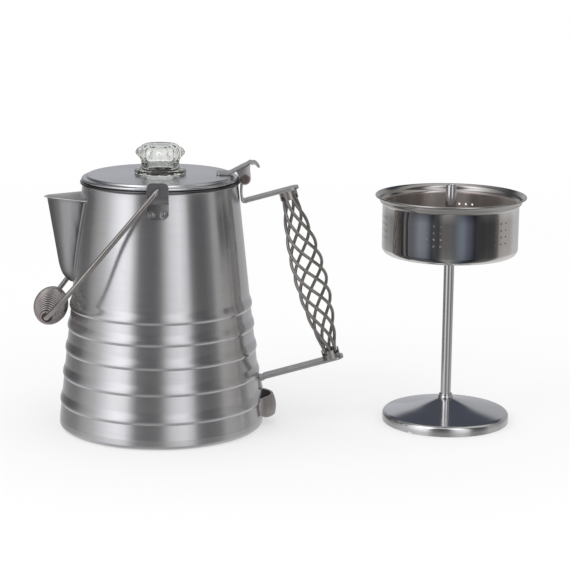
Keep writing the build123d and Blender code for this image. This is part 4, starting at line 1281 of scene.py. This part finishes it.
def basket_holes():
    """Six groups of three columns in the wall, and four rings in the floor."""
    places = []
    for group in range(6):
        for column in (-1, 0, 1):
            a = radians(-110.5 + 60 * group) + column * 5.3 / BASKET_R
            x, y = PUMP_X + BASKET_R * cos(a), PUMP_Y + BASKET_R * sin(a)
            places += [((x, y, z), (cos(a), sin(a), 0)) for z in (147.6, 152.7, 157.8, 162.9)]
    for radius, count in ((14.5, 10), (21.5, 16), (28.5, 22), (35.5, 28)):
        for k in range(count):
            a = 2 * pi * k / count
            places.append(((PUMP_X + radius * cos(a), PUMP_Y + radius * sin(a), BASKET_FLOOR),
                           (0, 0, 1)))
    return rods(places, half_length=2.5, radius=0.85, sides=16)


def pump_radius(centre):
    return hypot(centre.x - PUMP_X, centre.y - PUMP_Y)


def inside_basket(centre, normal):
    r, z = pump_radius(centre), centre.z
    on_outer_corner = (z < CORNER_Z and r > FLAT_R
                       and hypot(r - FLAT_R, z - BASKET_FLOOR - CORNER) > CORNER - 0.4)
    return r < BASKET_R - 0.35 and z > BASKET_FLOOR + 0.4 and not on_outer_corner


basket = make("basket_shell", lathe(basket_line, 300, PUMP), BASKET_STEEL, sharp=40)
cut(basket, basket_holes())
repaint(basket, 1, BASKET_INSIDE, inside_basket)
repaint(basket, 2, RIM_STEEL, lambda centre, normal: (
    centre.z > 171.6 and pump_radius(centre) > BASKET_R - 0.3))
hand_over(basket, "basket", "basket")

recolour(["lid_collar"], LID_STEEL)
recolour(["basket_stop"], TUBE_STEEL)
recolour(["basket_hub"], RIM_STEEL)


# ------------------------------------------------------------------ the floor
def floor_paper():
    """White paper that the camera sees fade into the white background."""
    material, net = new_material("floor_paper")
    place = net.coords()
    distance = net.vec("LENGTH", net.vec("MULTIPLY", place, (1, 1, 0)))
    fibre = net.noise(place, scale=0.02, detail=4.0, rough=0.6)
    paper = net.diffuse(net.mix(fibre, (0.93, 0.93, 0.93), (0.95, 0.95, 0.95)))
    glow = net.node("ShaderNodeEmission", {"Color": (1.0, 1.0, 1.0), "Strength": 1.0})
    seen = net.node("ShaderNodeLightPath").outputs["Is Camera Ray"]
    fade = net.remap(distance, (350.0, 1500.0), smooth=True)
    net.out(net.mix_shader(net.math("MAXIMUM", fade, 0.5) * seen, paper, glow.outputs[0]))
    return material


SIZE = 14000.0
paper = floor_paper()
floor = mesh_object("floor", ([(-SIZE, -SIZE, -0.2), (SIZE, -SIZE, -0.2), (SIZE, SIZE, -0.2),
                               (-SIZE, SIZE, -0.2)], [(0, 1, 2, 3)]))
floor.data.materials.append(paper)
floor.visible_glossy = False

# --------------------------------------------- studio light seen in the metal
# (azimuth in degrees, 0 towards -Y and positive towards +X; brightness)
BANDS = [(-180, 0.61), (-160, 0.46), (-145, 0.20), (-126, 0.09), (-110, 0.14), (-100, 0.32),
         (-90, 0.48), (-78, 0.68), (-68, 1.02), (-58, 1.34), (-48, 1.48), (-38, 1.30),
         (-31, 0.60), (-25, 0.19), (-14, 0.125), (-4, 0.13), (3, 0.22), (10, 0.62), (17, 0.98),
         (29, 1.20), (38, 0.90), (45, 0.26), (52, 0.12), (64, 0.105), (74, 0.19), (82, 0.46),
         (90, 0.41), (100, 0.37), (113, 0.28), (130, 0.42), (180, 0.50)]


def tone(azimuth, level):
    """A slightly coloured grey: cool at the back and in the extremes, warm on the +X side."""
    if abs(azimuth) > 150:
        return (level * 0.98, level * 0.99, level * 1.05)
    if 88 < azimuth < 125:
        return (level * 1.03, level * 0.99, level * 0.95)
    if level > 0.8 or level < 0.2:
        return (level * 0.99, level * 0.99, level * 1.02)
    return (level, level, level)


def studio_world():
    world = bpy.data.worlds.new("studio")
    SCENE.world = world
    world.use_nodes = True
    net = NodeNet(world.node_tree)
    generated = net.node("ShaderNodeTexCoord").outputs["Generated"]
    x, y, z = net.split(net.vec("NORMALIZE", generated))

    def rise(low, high, to=(0.0, 1.0)):
        """A smooth change between two elevations in degrees."""
        return net.remap(z, (sin(radians(low)), sin(radians(high))), to=to, smooth=True)

    turn = net.turn(x, y * -1.0) + 2.0 / 360        # the bands are shifted by 2 degrees
    band = net.ramp(turn, [((a + 180) / 360, tone(a, level)) for a, level in BANDS])
    light = net.scale(band, rise(33, 46, to=(1.0, 1.8)))
    light = net.mix(rise(58, 78), light, (0.85, 0.85, 0.86))
    # a dark panel high up behind the set
    backward = net.remap(net.math("MULTIPLY_ADD", x, 0.25, y), (0.42, 0.6), smooth=True)
    panel = backward * (rise(24, 32) * rise(58, 68, to=(1.0, 0.0)))
    light = net.mix(panel, light, (0.085, 0.092, 0.115))
    # the paper floor, seen from low down
    ground = net.mix(net.remap(y, (-0.5, 0.1), smooth=True), (0.42, 0.42, 0.42),
                     (0.68, 0.68, 0.68))
    light = net.mix(rise(-3, -26), light, ground)
    softened = net.mix(0.55, light, (0.95, 0.95, 0.95))
    ray = net.node("ShaderNodeLightPath").outputs
    colour = net.mix(ray["Is Diffuse Ray"], light, (1.0, 1.0, 1.0))
    colour = net.mix(ray["Is Transmission Ray"], colour, softened)
    colour = net.mix(ray["Is Camera Ray"], colour, (1.0, 1.0, 1.0))
    background = net.node("ShaderNodeBackground", {"Color": colour})
    net.node("ShaderNodeOutputWorld", {"Surface": background.outputs[0]})


def softbox(name, azimuth, elevation, distance, width, height, energy):
    """An area light aimed at the set, hidden from reflections; angles in degrees, metres."""
    light = bpy.data.lights.new(name, "AREA")
    light.shape = "RECTANGLE"
    light.size = width
    light.size_y = height
    light.energy = energy
    ob = bpy.data.objects.new(name, light)
    SCENE.collection.objects.link(ob)
    a, e = radians(azimuth), radians(elevation)
    direction = Vector((sin(a) * cos(e), -cos(a) * cos(e), sin(e)))
    ob.location = Vector((0.08, 0, 0.10)) + direction * distance
    ob.rotation_mode = "QUATERNION"
    ob.rotation_quaternion = direction.to_track_quat("Z", "Y")
    ob.visible_glossy = False


studio_world()
softbox("key_softbox", azimuth=-52, elevation=38, distance=1.7, width=0.7, height=0.9, energy=3.0)
softbox("fill_softbox", azimuth=24, elevation=30, distance=1.9, width=0.35, height=0.9,
        energy=1.5)

# ----------------------------------------------------------------- the camera
CAMERA_AT = (0.0466, -1.3829, 0.4078)       # metres
YAW, PITCH, ROLL = radians(2.01), radians(12.21), radians(0.495)
lens = bpy.data.cameras.new("camera")
camera = bpy.data.objects.new("camera", lens)
SCENE.collection.objects.link(camera)
lens.lens = 116.34
lens.sensor_width = 36.0
lens.clip_start = 0.05
lens.clip_end = 50.0
forward = Vector((sin(YAW) * cos(PITCH), cos(YAW) * cos(PITCH), -sin(PITCH)))
level_right = Vector((cos(YAW), -sin(YAW), 0))
level_up = level_right.cross(forward)
right = level_right * cos(ROLL) + level_up * sin(ROLL)
up = -level_right * sin(ROLL) + level_up * cos(ROLL)
rows = [(right[i], up[i], -forward[i], CAMERA_AT[i]) for i in range(3)]
camera.matrix_world = Matrix(rows + [(0, 0, 0, 1)])
SCENE.camera = camera
SCENE.view_settings.view_transform = "Standard"
SCENE.view_settings.look = "None"

# every mesh takes its object's name
for ob in list(SCENE.objects):
    if ob.type == "MESH" and ob.data.name != ob.name:
        ob.data.name = ob.name
